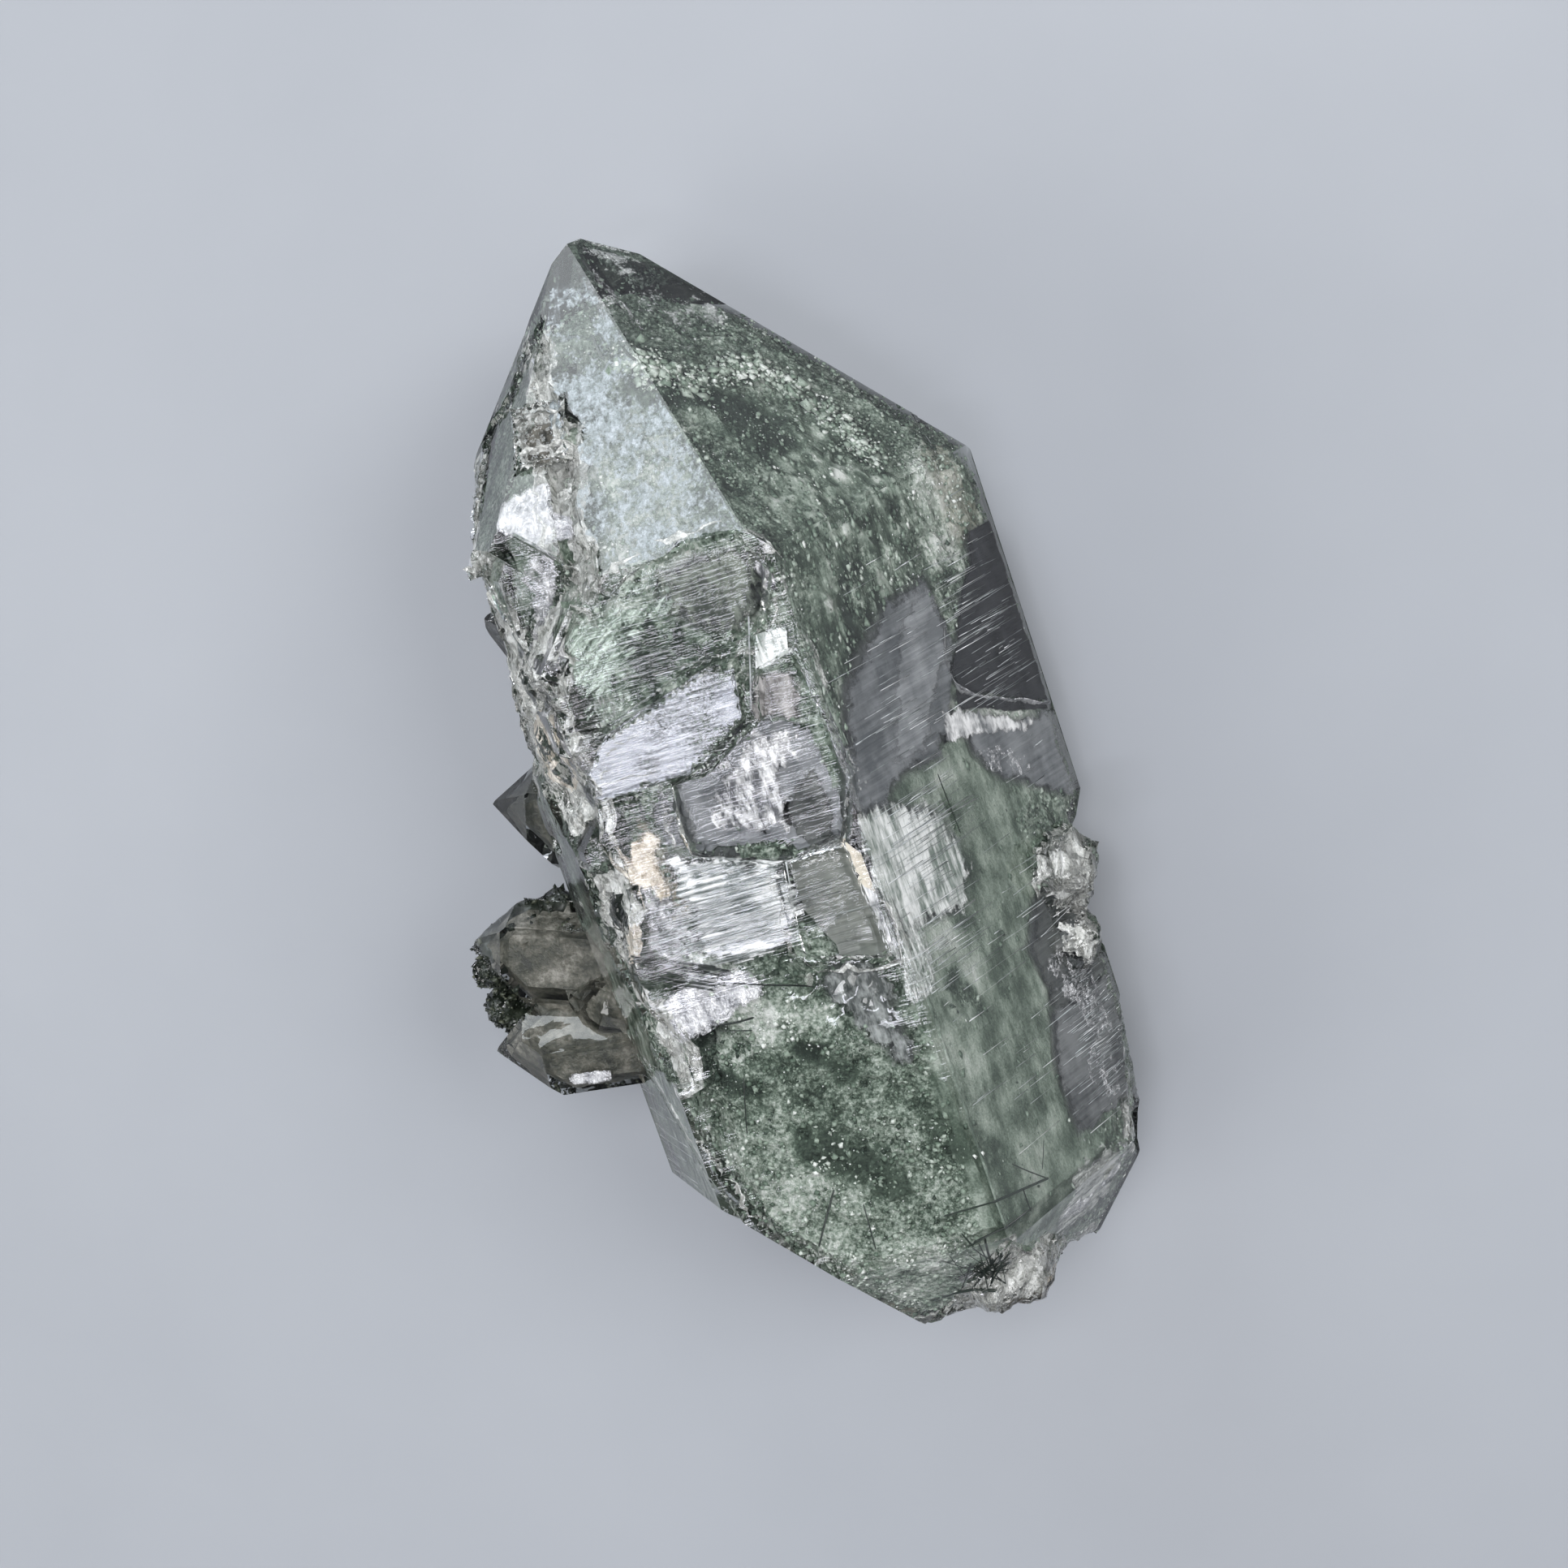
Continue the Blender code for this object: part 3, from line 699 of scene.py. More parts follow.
# Glassy patches that cover the phantom: prism face, distance from the crystal's centre line, kind,
# raggedness of the outline, width over which the border fades, and corners as distances across the
# face and along the crystal.
GLASS_PATCHES = {
    # Painted shade: near-black sheets under the right face and along the crack's core.
    "patch_right_dark": (1, 9.80, "painted_shade_glass", 0.10, 0.35, (
        (-13.8, 12.4), (-11.0, 12.4), (-10.4, 10.4), (-8.5, 9.1), (-7.3, 7.3), (-6.4, 5.9), (-5.1, 4.7),
        (-5.5, 3.3), (-9.6, 1.2), (-13.8, -0.7))),
    "patch_crack_core": (1, 9.78, "painted_shade_glass", 0.15, 0.4, (
        (-5.0, 3.6), (-6.6, 2.7), (-9.6, 1.3), (-13.6, -0.6), (-13.6, -1.3), (-9.8, 0.1), (-6.8, 1.4),
        (-4.6, 2.2))),
    "patch_crack_white": (1, 9.90, "white_crack", 0.30, 0.7, (
        (-2.9, 2.9), (-4.8, 2.5), (-6.8, 1.4), (-9.8, 0.0), (-12.4, -1.0), (-10.7, -1.6), (-6.8, -0.3),
        (-2.4, 0.7))),
    "patch_window": (1, 9.70, "grey_glass", 0.55, 1.5, (
        (-6.4, 11.4), (-1.4, 11.0), (2.2, 9.3), (4.9, 7.6), (6.9, 3.3), (8.0, -0.4), (5.2, -1.2),
        (2.1, 0.0), (-1.5, -0.2), (-4.9, 2.6), (-6.8, 6.0))),
    "patch_window_light": (1, 9.82, "pale_glass", 0.35, 1.3, (
        (-5.7, 11.0), (-6.2, 9.7), (-6.3, 7.7), (-5.9, 6.1), (-4.6, 4.8), (-2.9, 3.3), (-1.8, 1.7),
        (-0.5, 0.5), (3.4, 1.2), (1.3, 4.6), (-0.2, 7.6), (-2.5, 10.0))),
    "patch_right_grey": (1, 9.72, "grey_glass", 0.35, 1.2, (
        (-4.4, 1.8), (-11.2, -0.5), (-13.8, -0.9), (-13.8, -8.0), (-9.6, -5.4), (-6.4, -3.3),
        (-4.7, -0.9))),
    "patch_lower_dark": (1, 9.70, "shadow_glass", 0.55, 0.9, (
        (-6.2, -11.2), (-9.6, -11.2), (-10.6, -16.6), (-11.0, -19.5), (-4.2, -19.2), (-4.6, -17.5),
        (-3.8, -14.3))),
    "patch_lower_grey": (1, 9.68, "lined_glass", 0.40, 0.9, (
        (-4.2, -18.6), (-10.9, -18.9), (-10.6, -24.0), (-9.4, -27.2), (-2.9, -27.8), (-2.7, -26.0),
        (-2.8, -21.8))),
    "patch_step": (0, 9.40, "grey_glass", 0.30, 0.0, (
        (-0.1, 7.2), (-2.1, 6.8), (-3.3, 5.9), (-3.7, 4.1), (-3.8, 2.1), (-3.6, -0.6), (-3.4, -2.1),
        (-1.2, -2.1), (0.7, -0.7), (2.9, -0.4), (5.7, 0.1), (8.5, 1.4), (8.1, 3.1), (7.2, 4.5),
        (4.2, 5.0), (1.7, 6.2))),
    "patch_step_dark": (0, 9.48, "shadow_glass", 0.40, 1.0, (
        (-1.2, 2.9), (-3.5, 3.6), (-3.4, 2.1), (-3.2, -0.6), (-3.0, -1.9), (-1.4, -1.9), (-0.2, -0.9),
        (0.2, 0.9))),
    "patch_step_bright": (0, 9.56, "flecked_glass", 0.60, 1.5, (
        (2.6, 5.4), (0.6, 6.7), (-2.2, 6.2), (-3.0, 4.6), (-1.0, 3.2), (-0.6, 1.0), (0.4, -0.6),
        (2.6, 0.2), (5.0, 0.9), (4.4, 3.4))),
    "patch_pits": (0, 10.62, "pitted_glass", 0.70, 0.9, (
        (0.5, -8.9), (-2.1, -9.1), (-3.6, -11.0), (-3.3, -13.4), (-3.6, -16.8), (-2.1, -17.0),
        (-0.7, -14.6), (0.2, -12.1), (1.2, -10.8))),
    "patch_brush": (1, 9.74, "brushed_glass", 0.60, 1.6, (
        (7.8, 0.3), (3.9, -0.3), (-0.4, -2.6), (-1.4, -6.8), (0.6, -9.8), (5.2, -9.0), (7.0, -10.4),
        (8.0, -5.0))),
    "patch_brown": (0, 10.60, "brown_glass", 0.35, 0.8, (
        (-1.2, 10.2), (-4.0, 9.6), (-3.5, 6.2), (-0.3, 7.1))),
    "patch_upper_moss": (0, 10.64, "moss_glass", 0.80, 1.8, (
        (3.0, 18.2), (-0.3, 18.8), (-4.7, 17.9), (-3.8, 14.0), (-1.0, 12.6), (1.6, 13.6), (3.2, 16.1))),
    "patch_notch_white": (0, 10.70, "brushed_glass", 0.15, 0.0, (
        (-2.3, 12.5), (-4.4, 12.4), (-4.1, 11.0), (-2.6, 10.2), (-1.7, 10.3))),
    "patch_notch_spark": (0, 10.70, "flecked_glass", 0.25, 0.3, (
        (-3.8, 16.9), (-4.7, 17.0), (-4.9, 15.4), (-4.6, 14.6), (-3.6, 15.1))),
    "patch_olive": (0, 10.90, "olive_glass", 0.04, 0.0, (
        (0.4, -1.9), (-3.2, -1.9), (-3.6, -4.5), (-3.7, -9.0), (-0.9, -8.3), (0.4, -5.3))),
    "patch_cream_edge": (0, 10.92, "cream_glass", 0.05, 0.0, (
        (-3.3, -1.2), (-4.3, -2.6), (-4.4, -5.2), (-3.6, -4.5))),
    "patch_white_edge": (0, 10.92, "white_crack", 0.05, 0.0, (
        (-3.6, -4.5), (-4.4, -5.2), (-4.3, -8.6), (-3.75, -9.0))),
    # Partly a painted reflection: pale green with bright flakes, made silvery where the striated face
    # shows a reflection.
    "patch_silver": (0, 10.70, "painted_silver_reflection", 0.70, 1.4, (
        (8.8, 1.4), (0.2, -1.5), (0.3, -5.3), (1.4, -7.2), (5.2, -7.7), (8.0, -6.5), (7.8, -2.9))),
}
# The shape of the lines on a patch, as their fineness by axis: across the prism, fine across it,
# along it and flecked.
ACROSS = (0.12, 3.0, 0.12)
FINE_ACROSS = (0.34, 3.6, 0.34)
UPRIGHT = (2.6, 0.34, 2.6)
FLECKED = (1.9, 0.75, 1.9)
# Each kind of patch: its dark and light tones, its lines and their contrast.
GLASS_KINDS = {
    # The two darkest kinds are painted shade: dark sheets where the clear crystal shows only darkness.
    "painted_shade_glass": ((0.001, 0.001, 0.002), (0.016, 0.017, 0.020), ACROSS, FAINT_LINES),
    "shadow_glass": ((0.008, 0.012, 0.011), (0.100, 0.108, 0.104), ACROSS, 0.12),
    "grey_glass": ((0.078, 0.087, 0.094), (0.235, 0.248, 0.260), ACROSS, 0.12),
    "pale_glass": ((0.150, 0.161, 0.171), (0.340, 0.355, 0.372), ACROSS, 0.14),
    "lined_glass": ((0.036, 0.041, 0.043), (0.200, 0.210, 0.214), ACROSS, 0.12),
    "brown_glass": ((0.120, 0.116, 0.112), (0.420, 0.408, 0.400), FLECKED, 0.26),
    "olive_glass": ((0.070, 0.080, 0.070), (0.175, 0.190, 0.168), ACROSS, FAINT_LINES),
    "moss_glass": ((0.020, 0.029, 0.021), (0.150, 0.175, 0.142), FLECKED, 0.28),
    # Pale green with bright flakes, partly a painted silvery reflection.
    "painted_silver_reflection": ((0.130, 0.155, 0.150), (0.930, 0.945, 0.945), FINE_ACROSS, 0.30),
    "brushed_glass": ((0.190, 0.235, 0.205), (0.930, 0.950, 0.940), UPRIGHT, 0.26),
    "flecked_glass": ((0.070, 0.074, 0.082), (0.970, 0.975, 0.985), FLECKED, 0.24),
    "pitted_glass": ((0.026, 0.034, 0.031), (0.320, 0.345, 0.335), FLECKED, 0.26),
    "white_crack": ((0.160, 0.170, 0.180), (0.990, 0.995, 1.000), FLECKED, 0.20),
    "cream_glass": ((0.420, 0.370, 0.280), (0.880, 0.820, 0.700), ACROSS, FAINT_LINES),
}
# The gap between a patch and the phantom under it, how far from a prism face a patch has any effect
# on the phantom, and the widths over which its cover and that gap fade out.
PATCH_GAP = 0.5
PATCH_REACH = 4.0
COVER_BORDER = 0.7
GAP_BORDER = 0.5
# Dark clumps, and painted shade behind the clear windows: start, end, radius and strength.
DARK_CLUMPS_AND_SHADE = (
    ((-3.6, -13.8, 22.6), (-1.3, -16.2, 22.6), 0.9, 0.13),
    ((-5.0, -20.6, 22.6), (-1.2, -24.2, 22.6), 1.7, 0.07),
    ((-11.3, -13.6, 22.0), (-7.4, -15.9, 22.4), 0.8, 0.15),
    ((-5.0, 14.1, 22.4), (-2.0, 11.4, 22.4), 1.7, 0.14),
    ((6.6, -13.0, 20.0), (7.3, -15.2, 19.0), 1.2, 0.14),
    ((3.4, -21.5, 22.0), (5.0, -24.5, 21.0), 1.1, 0.07),
    ((-1.2, 29.8, 14.5), (4.6, 22.0, 13.0), 2.2, 0.14),
    ((8.0, 14.0, 16.0), (6.0, 4.0, 20.5), 1.8, 0.12),
    ((2.8, -31.4, 20.0), (4.2, -32.2, 19.0), 1.4, 0.16),
    # The last four lie on the back: partly dark chlorite, partly painted shade seen through the clear
    # windows.
    ((10.5, 9.0, 1.5), (9.0, -1.0, 1.5), 4.4, 0.30),
    ((-8.0, -1.0, 1.5), (-2.0, -2.5, 1.5), 3.6, 0.30),
    ((-4.5, -8.0, 1.5), (-2.5, -8.0, 1.5), 2.6, 0.30),
    ((8.2, -19.5, 1.5), (5.0, -28.0, 2.5), 4.0, 0.34),
)
# Pale crumbs: start, end, radius and strength.
PALE_CRUMBS = (
    ((-2.6, 29.8, 15.4), (1.8, 27.4, 14.4), 1.5, 0.22),
    ((1.8, 27.4, 14.4), (5.6, 26.0, 8.4), 1.5, 0.22),
    ((-1.6, 26.2, 16.4), (2.6, 24.8, 14.0), 0.9, 0.12),
    ((14.0, 17.0, 8.0), (13.6, 12.0, 10.0), 2.6, 0.14),
    ((-8.1, -7.0, 22.5), (-6.0, -11.6, 22.5), 1.8, 0.22),
    ((5.4, -6.7, 21.5), (7.0, -13.4, 19.2), 2.6, 0.09),
    ((5.2, -14.0, 21.5), (6.6, -22.0, 19.4), 2.2, 0.03),
    ((-11.0, -21.0, 20.0), (0.0, -32.0, 19.0), 4.4, 0.09),
    ((-9.0, -12.4, 22.4), (-2.0, -12.4, 22.4), 1.6, 0.10),
    ((-3.0, 25.0, 18.0), (-2.0, 19.5, 21.5), 3.4, 0.14),
    ((10.6, 2.1, 13.4), (14.2, -1.6, 7.0), 1.6, 0.20),
    ((-8.0, 18.0, 20.5), (-10.0, 10.5, 20.5), 2.8, 0.10),
)
# Cream and rust stains: start, end, radius and strength.
RUST_STAINS = (
    ((-9.8, 1.6, 21.6), (-8.8, -2.2, 22.0), 1.6, 0.9),
    ((3.3, -1.9, 22.6), (3.7, -4.4, 22.6), 0.8, 0.8),
    ((-13.0, 10.0, 17.5), (-12.8, 4.0, 17.5), 1.8, 0.5),
    ((-9.0, -31.0, 16.0), (1.0, -36.0, 13.0), 1.6, 0.5),
    ((13.8, 17.0, 7.0), (14.2, 13.0, 7.0), 1.8, 0.4),
    ((-13.6, -30.0, 8.0), (-6.0, -33.0, 9.0), 2.2, 0.4),
)
# Where the phantom is drawn out in streaks along the crystal: start, end and radius.
STREAKED = (
    ((9.0, 20.0, 14.0), (7.0, 4.0, 19.0), 5.5),
    ((-9.0, 16.0, 20.5), (-5.0, 12.0, 22.5), 4.0),
    ((-12.0, -14.0, 15.0), (-8.0, -26.0, 14.0), 4.5),
)
# Where it is brushed smooth under the right face: start, end, radius and how far it reaches over
# the front edge.
BRUSHED = ((9.5, -3.0, 15.5), (7.5, -29.0, 19.0), 7.5)
BRUSHED_REACH = 1.2
# Turf of longer tufts under the sharp end's right face: start, end and radius.
TURF = ((2.0, 28.0, 14.0), (9.0, 15.0, 13.0), 8.0)


def strongest(points, zones):
    """The largest of each zone's patch times its strength."""
    total = np.zeros(len(points))
    for count, (start, end, radius, strength) in enumerate(zones):
        total = np.maximum(total, strength * patch(points, start, end, radius, seed=70 + count))
    return total


def keep_inside(points, solid, margin):
    """Moves points that are outside the solid, or nearly, to a margin under its surface."""
    kept = points.copy()
    margins = np.broadcast_to(margin, len(points))
    for index, point in enumerate(points):
        hit, normal, _, _ = solid.find_nearest(point)
        height = (Vector(point) - hit).dot(normal)
        if height > -margins[index]:
            kept[index] = hit - normal * margins[index]
    return kept


def face_axes(face):
    """The outward direction of a prism face and the direction across it."""
    out = prism_normal(face)
    return np.array(out), np.array(out.cross(Vector((0.0, 1.0, 0.0))))


def outline_gap(at, corners):
    """How far flat points are outside an outline, negative inside it."""
    inside = np.zeros(len(at), bool)
    nearest = np.full(len(at), np.inf)
    for a, b in zip(corners, np.roll(corners, -1, axis=0)):
        run = b - a
        along = np.clip((at - a) @ run / (run @ run), 0.0, 1.0)
        nearest = np.minimum(nearest, np.linalg.norm(at - a - along[:, None] * run, axis=1))
        crosses = (a[1] > at[:, 1]) != (b[1] > at[:, 1])
        share = (at[:, 1] - a[1]) / (run[1] if run[1] else 1e-9)
        inside ^= crosses & (at[:, 0] < a[0] + share * run[0])
    return np.where(inside, -nearest, nearest)


def under_patches(points):
    """How far each point is covered by a glassy patch, and how much deeper it must lie for it."""
    covered, sunk = np.zeros(len(points)), np.zeros(len(points))
    offset = points - np.array(CENTRE)
    for face, reach, _, _, _, corners in GLASS_PATCHES.values():
        out, side = face_axes(face)
        height = offset @ out - reach
        gap = outline_gap(np.stack([offset @ side, points[:, 1]], axis=1), np.array(corners))
        near = np.abs(height) < PATCH_REACH
        covered = np.maximum(covered, near * smooth(-gap / COVER_BORDER))
        sunk = np.maximum(sunk, near * smooth(0.1 - gap / GAP_BORDER) * (height + PATCH_GAP))
    return covered, sunk


def phantom_planes():
    """The planes that bound the phantom: each face of the main crystal moved in, and the cuts."""
    planes = []
    for k in range(6):
        normal = prism_normal(k)
        planes.append((CENTRE + normal * (PRISM[k] - PRISM_COVER[k]), normal))
        for end, reach, cover in ((1, SHARP_END, SHARP_COVER), (-1, BROKEN_END, BROKEN_COVER)):
            slope = rhomb_normal(k, end)
            planes.append((CENTRE + slope * (reach[k] - cover[k]), slope))
    return planes + [(Vector(point), Vector(normal)) for point, normal in PHANTOM_CUTS]


def brushed_share(points):
    """1 where the phantom is brushed smooth, with a crisp border along the front edge."""
    offset = points - np.array(CENTRE)
    front, right = (offset @ face_axes(face)[0] - PRISM[face] + PRISM_COVER[face] for face in (0, 1))
    return patch(points, *BRUSHED) * smooth((right - front + BRUSHED_REACH) / 0.5)


def back_openings(points):
    """How open the phantom is low on the left and middle of the back."""
    thin = smooth((5.0 - points[:, 2]) / 3.0) * smooth(0.2 + 2.0 * layered_noise(points, 0.14, 95))
    return 0.8 * thin * smooth((11.0 - points[:, 0]) / 2.0)


def phantom_shell(material, solid):
    """The phantom's main layer: granular, torn open where the crystal is clear, in two halves."""
    bm = block(phantom_planes())
    refine(bm, PHANTOM_EDGE)
    points, normals = points_of(bm), normals_of(bm)
    faces = triangles_of(bm)
    bm.free()
    open_share = np.maximum(strongest(points, CLEAR_ZONES), back_openings(points))
    brushed = brushed_share(points)
    covered, depth_under = under_patches(points)
    rise = relief(points, 0.0, *RELIEF_LAYERS)
    rise += TURF_HEIGHT * patch(points, *TURF) * layered_noise(points, (0.75, 0.34, 0.75), 93, 2)
    rise *= (1.0 - BRUSHED_LOSS * brushed) * (1.0 - COVERED_LOSS * covered)
    depth = np.clip(RELIEF_MEAN + rise, 0.0, None)
    sunk = depth + CURL * open_share + np.clip(depth_under, 0.0, None)
    points = keep_inside(points - normals * sunk[:, None], solid, SKIN + SKIN_BY_RELIEF * depth)
    fields = {
        # Painted shade: near-black where the phantom is open, for the dark clear windows.
        "depth": open_share * 0.8,
        "haze": covered,
        "brushed": brushed,
        "clumps": strongest(points, DARK_CLUMPS_AND_SHADE),
        # Pale crumbs, less the painted shade in the hollows.
        "paleness_and_hollow_shade": strongest(points, PALE_CRUMBS) - PAINTED_HOLLOW_SHADE * rise,
        "rust": strongest(points, RUST_STAINS),
        "streaks": np.maximum(strongest(points, [(*zone, 1.0) for zone in STREAKED]), brushed),
    }
    tears = open_share + 0.22 * layered_noise(points, 1.3, 97)
    kept = faces[tears[faces].mean(axis=1) < TORN]
    front = points[kept].mean(axis=1)[:, 2] > CENTRE.z
    for name, part in (("phantom_front", kept[front]), ("phantom_back", kept[~front])):
        used, small = np.unique(part, return_inverse=True)
        body, body_faces = film(points[used], small.reshape(part.shape), normals[used] * SHELL_THICKNESS)
        doubled = {key: np.tile(values[used], 2) for key, values in fields.items()}
        add_piece(name, body, body_faces, material, doubled, smooth_under=24)
    return points, faces, fields, tears


# Grains

OCTAHEDRON = np.array([(1, 0, 0), (-1, 0, 0), (0, 1, 0), (0, -1, 0), (0, 0, 1), (0, 0, -1)], float)
OCTAHEDRON_FACES = np.array([
    (0, 2, 4), (2, 1, 4), (1, 3, 4), (3, 0, 4), (2, 0, 5), (1, 2, 5), (3, 1, 5), (0, 3, 5)])


def random_turns(count, random):
    """Evenly spread rotation matrices."""
    q = random.normal(size=(count, 4))
    q /= np.linalg.norm(q, axis=1)[:, None]
    w, x, y, z = q.T
    return np.stack([
        1 - 2 * (y * y + z * z), 2 * (x * y - z * w), 2 * (x * z + y * w),
        2 * (x * y + z * w), 1 - 2 * (x * x + z * z), 2 * (y * z - x * w),
        2 * (x * z - y * w), 2 * (y * z + x * w), 1 - 2 * (x * x + y * y)], axis=1).reshape(-1, 3, 3)


def grains(name, centres, sizes, tones, material, random, stretch=None):
    """Many small irregular grains in one mesh. stretch is each one's extra length along Y."""
    count = len(centres)
    shapes = OCTAHEDRON[None] * random.uniform(0.55, 1.25, (count, 6, 1)) * sizes[:, None, None]
    shapes = shapes * random.uniform(0.6, 1.3, (count, 1, 3))
    shapes = np.einsum("nij,nkj->nki", random_turns(count, random), shapes)
    if stretch is not None:
        shapes[:, :, 1] *= stretch[:, None]
    points = (shapes + centres[:, None]).reshape(-1, 3)
    faces = (OCTAHEDRON_FACES[None] + 6 * np.arange(count)[:, None, None]).reshape(-1, 3)
    return add_piece(name, points, faces, material, {"tone": np.repeat(tones, 6)})


def scatter(points, faces, weights, count, random):
    """Places spread over triangles by area and weight, with each triangle's normal."""
    corners = points[faces]
    cross = np.cross(corners[:, 1] - corners[:, 0], corners[:, 2] - corners[:, 0])
    area = np.linalg.norm(cross, axis=1)
    share = area * weights[faces].mean(axis=1)
    chosen = random.choice(len(faces), count, p=share / share.sum())
    u, v = random.random((2, count))
    flip = u + v > 1
    u[flip], v[flip] = 1 - u[flip], 1 - v[flip]
    place = corners[chosen, 0] + u[:, None] * (corners[chosen, 1] - corners[chosen, 0])
    place += v[:, None] * (corners[chosen, 2] - corners[chosen, 0])
    return place, cross[chosen] / area[chosen][:, None], chosen


def inside_by(points, solid, margin):
    """True for points at least a margin under the solid's surface."""
    keep = np.zeros(len(points), bool)
    for index, point in enumerate(points):
        hit, normal, _, _ = solid.find_nearest(point)
        keep[index] = (Vector(point) - hit).dot(normal) < -margin
    return keep


# How far loose grains stay under the crystal's surface.
GRAIN_MARGIN = 0.3
GREEN_BATCHES = 2
BATCH_GRAINS = 15000
SPARKS = 6000
GREEN_STOPS = (
    (0.05, (0.022, 0.038, 0.027)), (0.30, (0.110, 0.160, 0.118)), (0.52, (0.25, 0.32, 0.255)),
    (0.76, (0.48, 0.55, 0.48)), (0.96, (0.88, 0.91, 0.87)))
WHITE_STOPS = ((0.1, (0.62, 0.68, 0.64)), (0.9, (0.95, 0.97, 0.97)))
# The pale crust along the phantom's upper border, under the sharp end's right face.
CRUST_LINE = (
    (-2.5, 30.5, 14.4), (-1.0, 29.2, 13.9), (0.9, 27.6, 13.1), (2.4, 27.1, 11.1), (4.0, 26.8, 8.9),
    (5.7, 25.3, 8.3), (7.0, 23.8, 8.5), (8.3, 22.0, 9.1), (9.5, 20.0, 10.0), (10.6, 18.8, 10.0),
)
CRUST_CRUMBS = 2600


def green_grains(name, ground, points, faces, fields, material, solid, random):
    """One batch of loose grains in front of the phantom, pale over pale crumbs, darker over its painted
    hollows.
    """
    place, normal, chosen = scatter(points, faces, ground, BATCH_GRAINS, random)
    place = place + normal * (random.exponential(0.45, len(place)) - 0.05)[:, None]
    keep = inside_by(place, solid, GRAIN_MARGIN)
    place, corner = place[keep], faces[chosen[keep], 0]
    tones = 0.42 + 0.55 * layered_noise(place, 0.55, 98) + random.normal(0.0, 0.13, len(place))
    spared = random.random(len(place)) < 0.35
    tones += 1.5 * fields["paleness_and_hollow_shade"][corner] - 1.3 * fields["clumps"][corner] * ~spared
    sizes = np.where(
        random.random(len(place)) < 0.6, random.uniform(0.05, 0.12, len(place)),
        random.uniform(0.13, 0.27, len(place)))
    stretch = 1.0 + 0.6 * fields["streaks"][corner]
    grains(name, place, sizes, np.clip(tones, 0.0, 1.0), material, random, stretch)


def crust_crumbs(material, solid, random):
    """Pale crumbs crowded along the crust's line."""
    line = np.array(CRUST_LINE)
    at = random.uniform(0.0, len(line) - 1.001, CRUST_CRUMBS)
    first = at.astype(int)
    place = line[first] + (at - first)[:, None] * (line[first + 1] - line[first])
    place = place + random.normal(0.0, 0.62, place.shape)
    place = place[inside_by(place, solid, GRAIN_MARGIN) & (layered_noise(place, 0.8, 99) > -0.2)]
    sizes = 0.08 + random.gamma(2.0, 0.075, len(place))
    tones = random.uniform(0.40, 0.95, len(place))
    grains("crust_crumbs", place, sizes, tones, material, random)


def phantom_grains(points, faces, fields, tears, solid):
    """Loose green grains in front of the phantom's layer, and white sparks among them."""
    random = np.random.default_rng(7)
    green = grain_material("phantom_grains", GREEN_STOPS, 0.6)
    white = grain_material("white_sparks", WHITE_STOPS, 0.25, 0.4)
    crowded = 0.35 + 0.65 * smooth(0.5 + 1.3 * layered_noise(points, 0.5, 96))
    crowded *= (1.0 - 0.4 * fields["streaks"]) * (1.0 - 0.92 * fields["brushed"])
    ground = (0.03 + smooth((TORN + 0.12 - tears) / 0.3)) * crowded
    ground *= np.clip(1.0 - 1.4 * fields["haze"], 0.0, None)
    for batch in range(GREEN_BATCHES):
        green_grains(f"phantom_grains_{batch}", ground, points, faces, fields, green, solid, random)
    crust_crumbs(green, solid, random)
    spark_ground = ground * np.clip(0.25 + 6.0 * fields["paleness_and_hollow_shade"], 0.05, None)
    place, normal, _ = scatter(points, faces, spark_ground, SPARKS, random)
    place = place + normal * random.uniform(0.0, 0.7, len(place))[:, None]
    place = place[inside_by(place, solid, 0.25)]
    sizes = 0.03 + random.gamma(2.0, 0.016, len(place))
    grains("white_sparks", place, sizes, random.random(len(place)), white, random)


# Smoky side crystals and their crust

SMOKY_INSET = 0.95
SMOKY_RELIEF = (0.12, (layered_noise, 0.10, 1.2, 101), (broken_facets, 0.08, 0.8, 102))


def smoky_cores(material, solid):
    """The smoky body of each side crystal, darker in the small dark ones."""
    for name, layout in SIDE_CRYSTALS.items():
        bm = block(small_crystal_planes(*layout, inset=SMOKY_INSET))
        refine(bm, 0.5)
        points = points_of(bm)
        depth = np.clip(relief(points, *SMOKY_RELIEF), 0.0, None)
        points = keep_inside(points - normals_of(bm) * depth[:, None], solid, 0.3)
        dark = 0.14 if name.startswith(("dark", "low")) else 0.0
        clumps = dark + 0.10 * smooth(0.3 + layered_noise(points, 0.5, 103))
        faces = triangles_of(bm)
        add_piece(f"smoky_{name}", points, faces, material, {"clumps": clumps}, smooth_under=40)
        bm.free()


CRUST_STOPS = (
    (0.1, (0.006, 0.009, 0.006)), (0.6, (0.022, 0.030, 0.020)), (0.95, (0.085, 0.095, 0.065)))
CRUST_INSET = 0.25
CRUST_CRYSTALS = 900


def crust_sizes():
    """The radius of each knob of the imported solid's crust."""
    upper = [1.5 + 0.35 * math.sin(4.0 * count) for count in range(10)]
    return upper + [1.55 - 0.12 * count for count in range(4)]


def crust_cores(material, solid):
    """A dark lump in each of the crust's knobs, in one mesh."""
    points, faces = [], []
    for knob, size in zip(CRUST_KNOBS, crust_sizes()):
        bm = bmesh.new()
        bmesh.ops.create_icosphere(bm, subdivisions=4, radius=size - CRUST_INSET)
        place = points_of(bm) + np.array(knob)
        place = place - normals_of(bm) * (0.20 + 0.20 * layered_noise(place, 0.9, 105))[:, None]
        faces.append(triangles_of(bm) + sum(len(earlier) for earlier in points))
        points.append(place)
        bm.free()
    place = keep_inside(np.concatenate(points), solid, 0.14)
    tones = 0.4 + 0.5 * layered_noise(place, 0.8, 106)
    add_piece("crust_cores", place, np.concatenate(faces), material, {"tone": tones}, smooth_under=50)


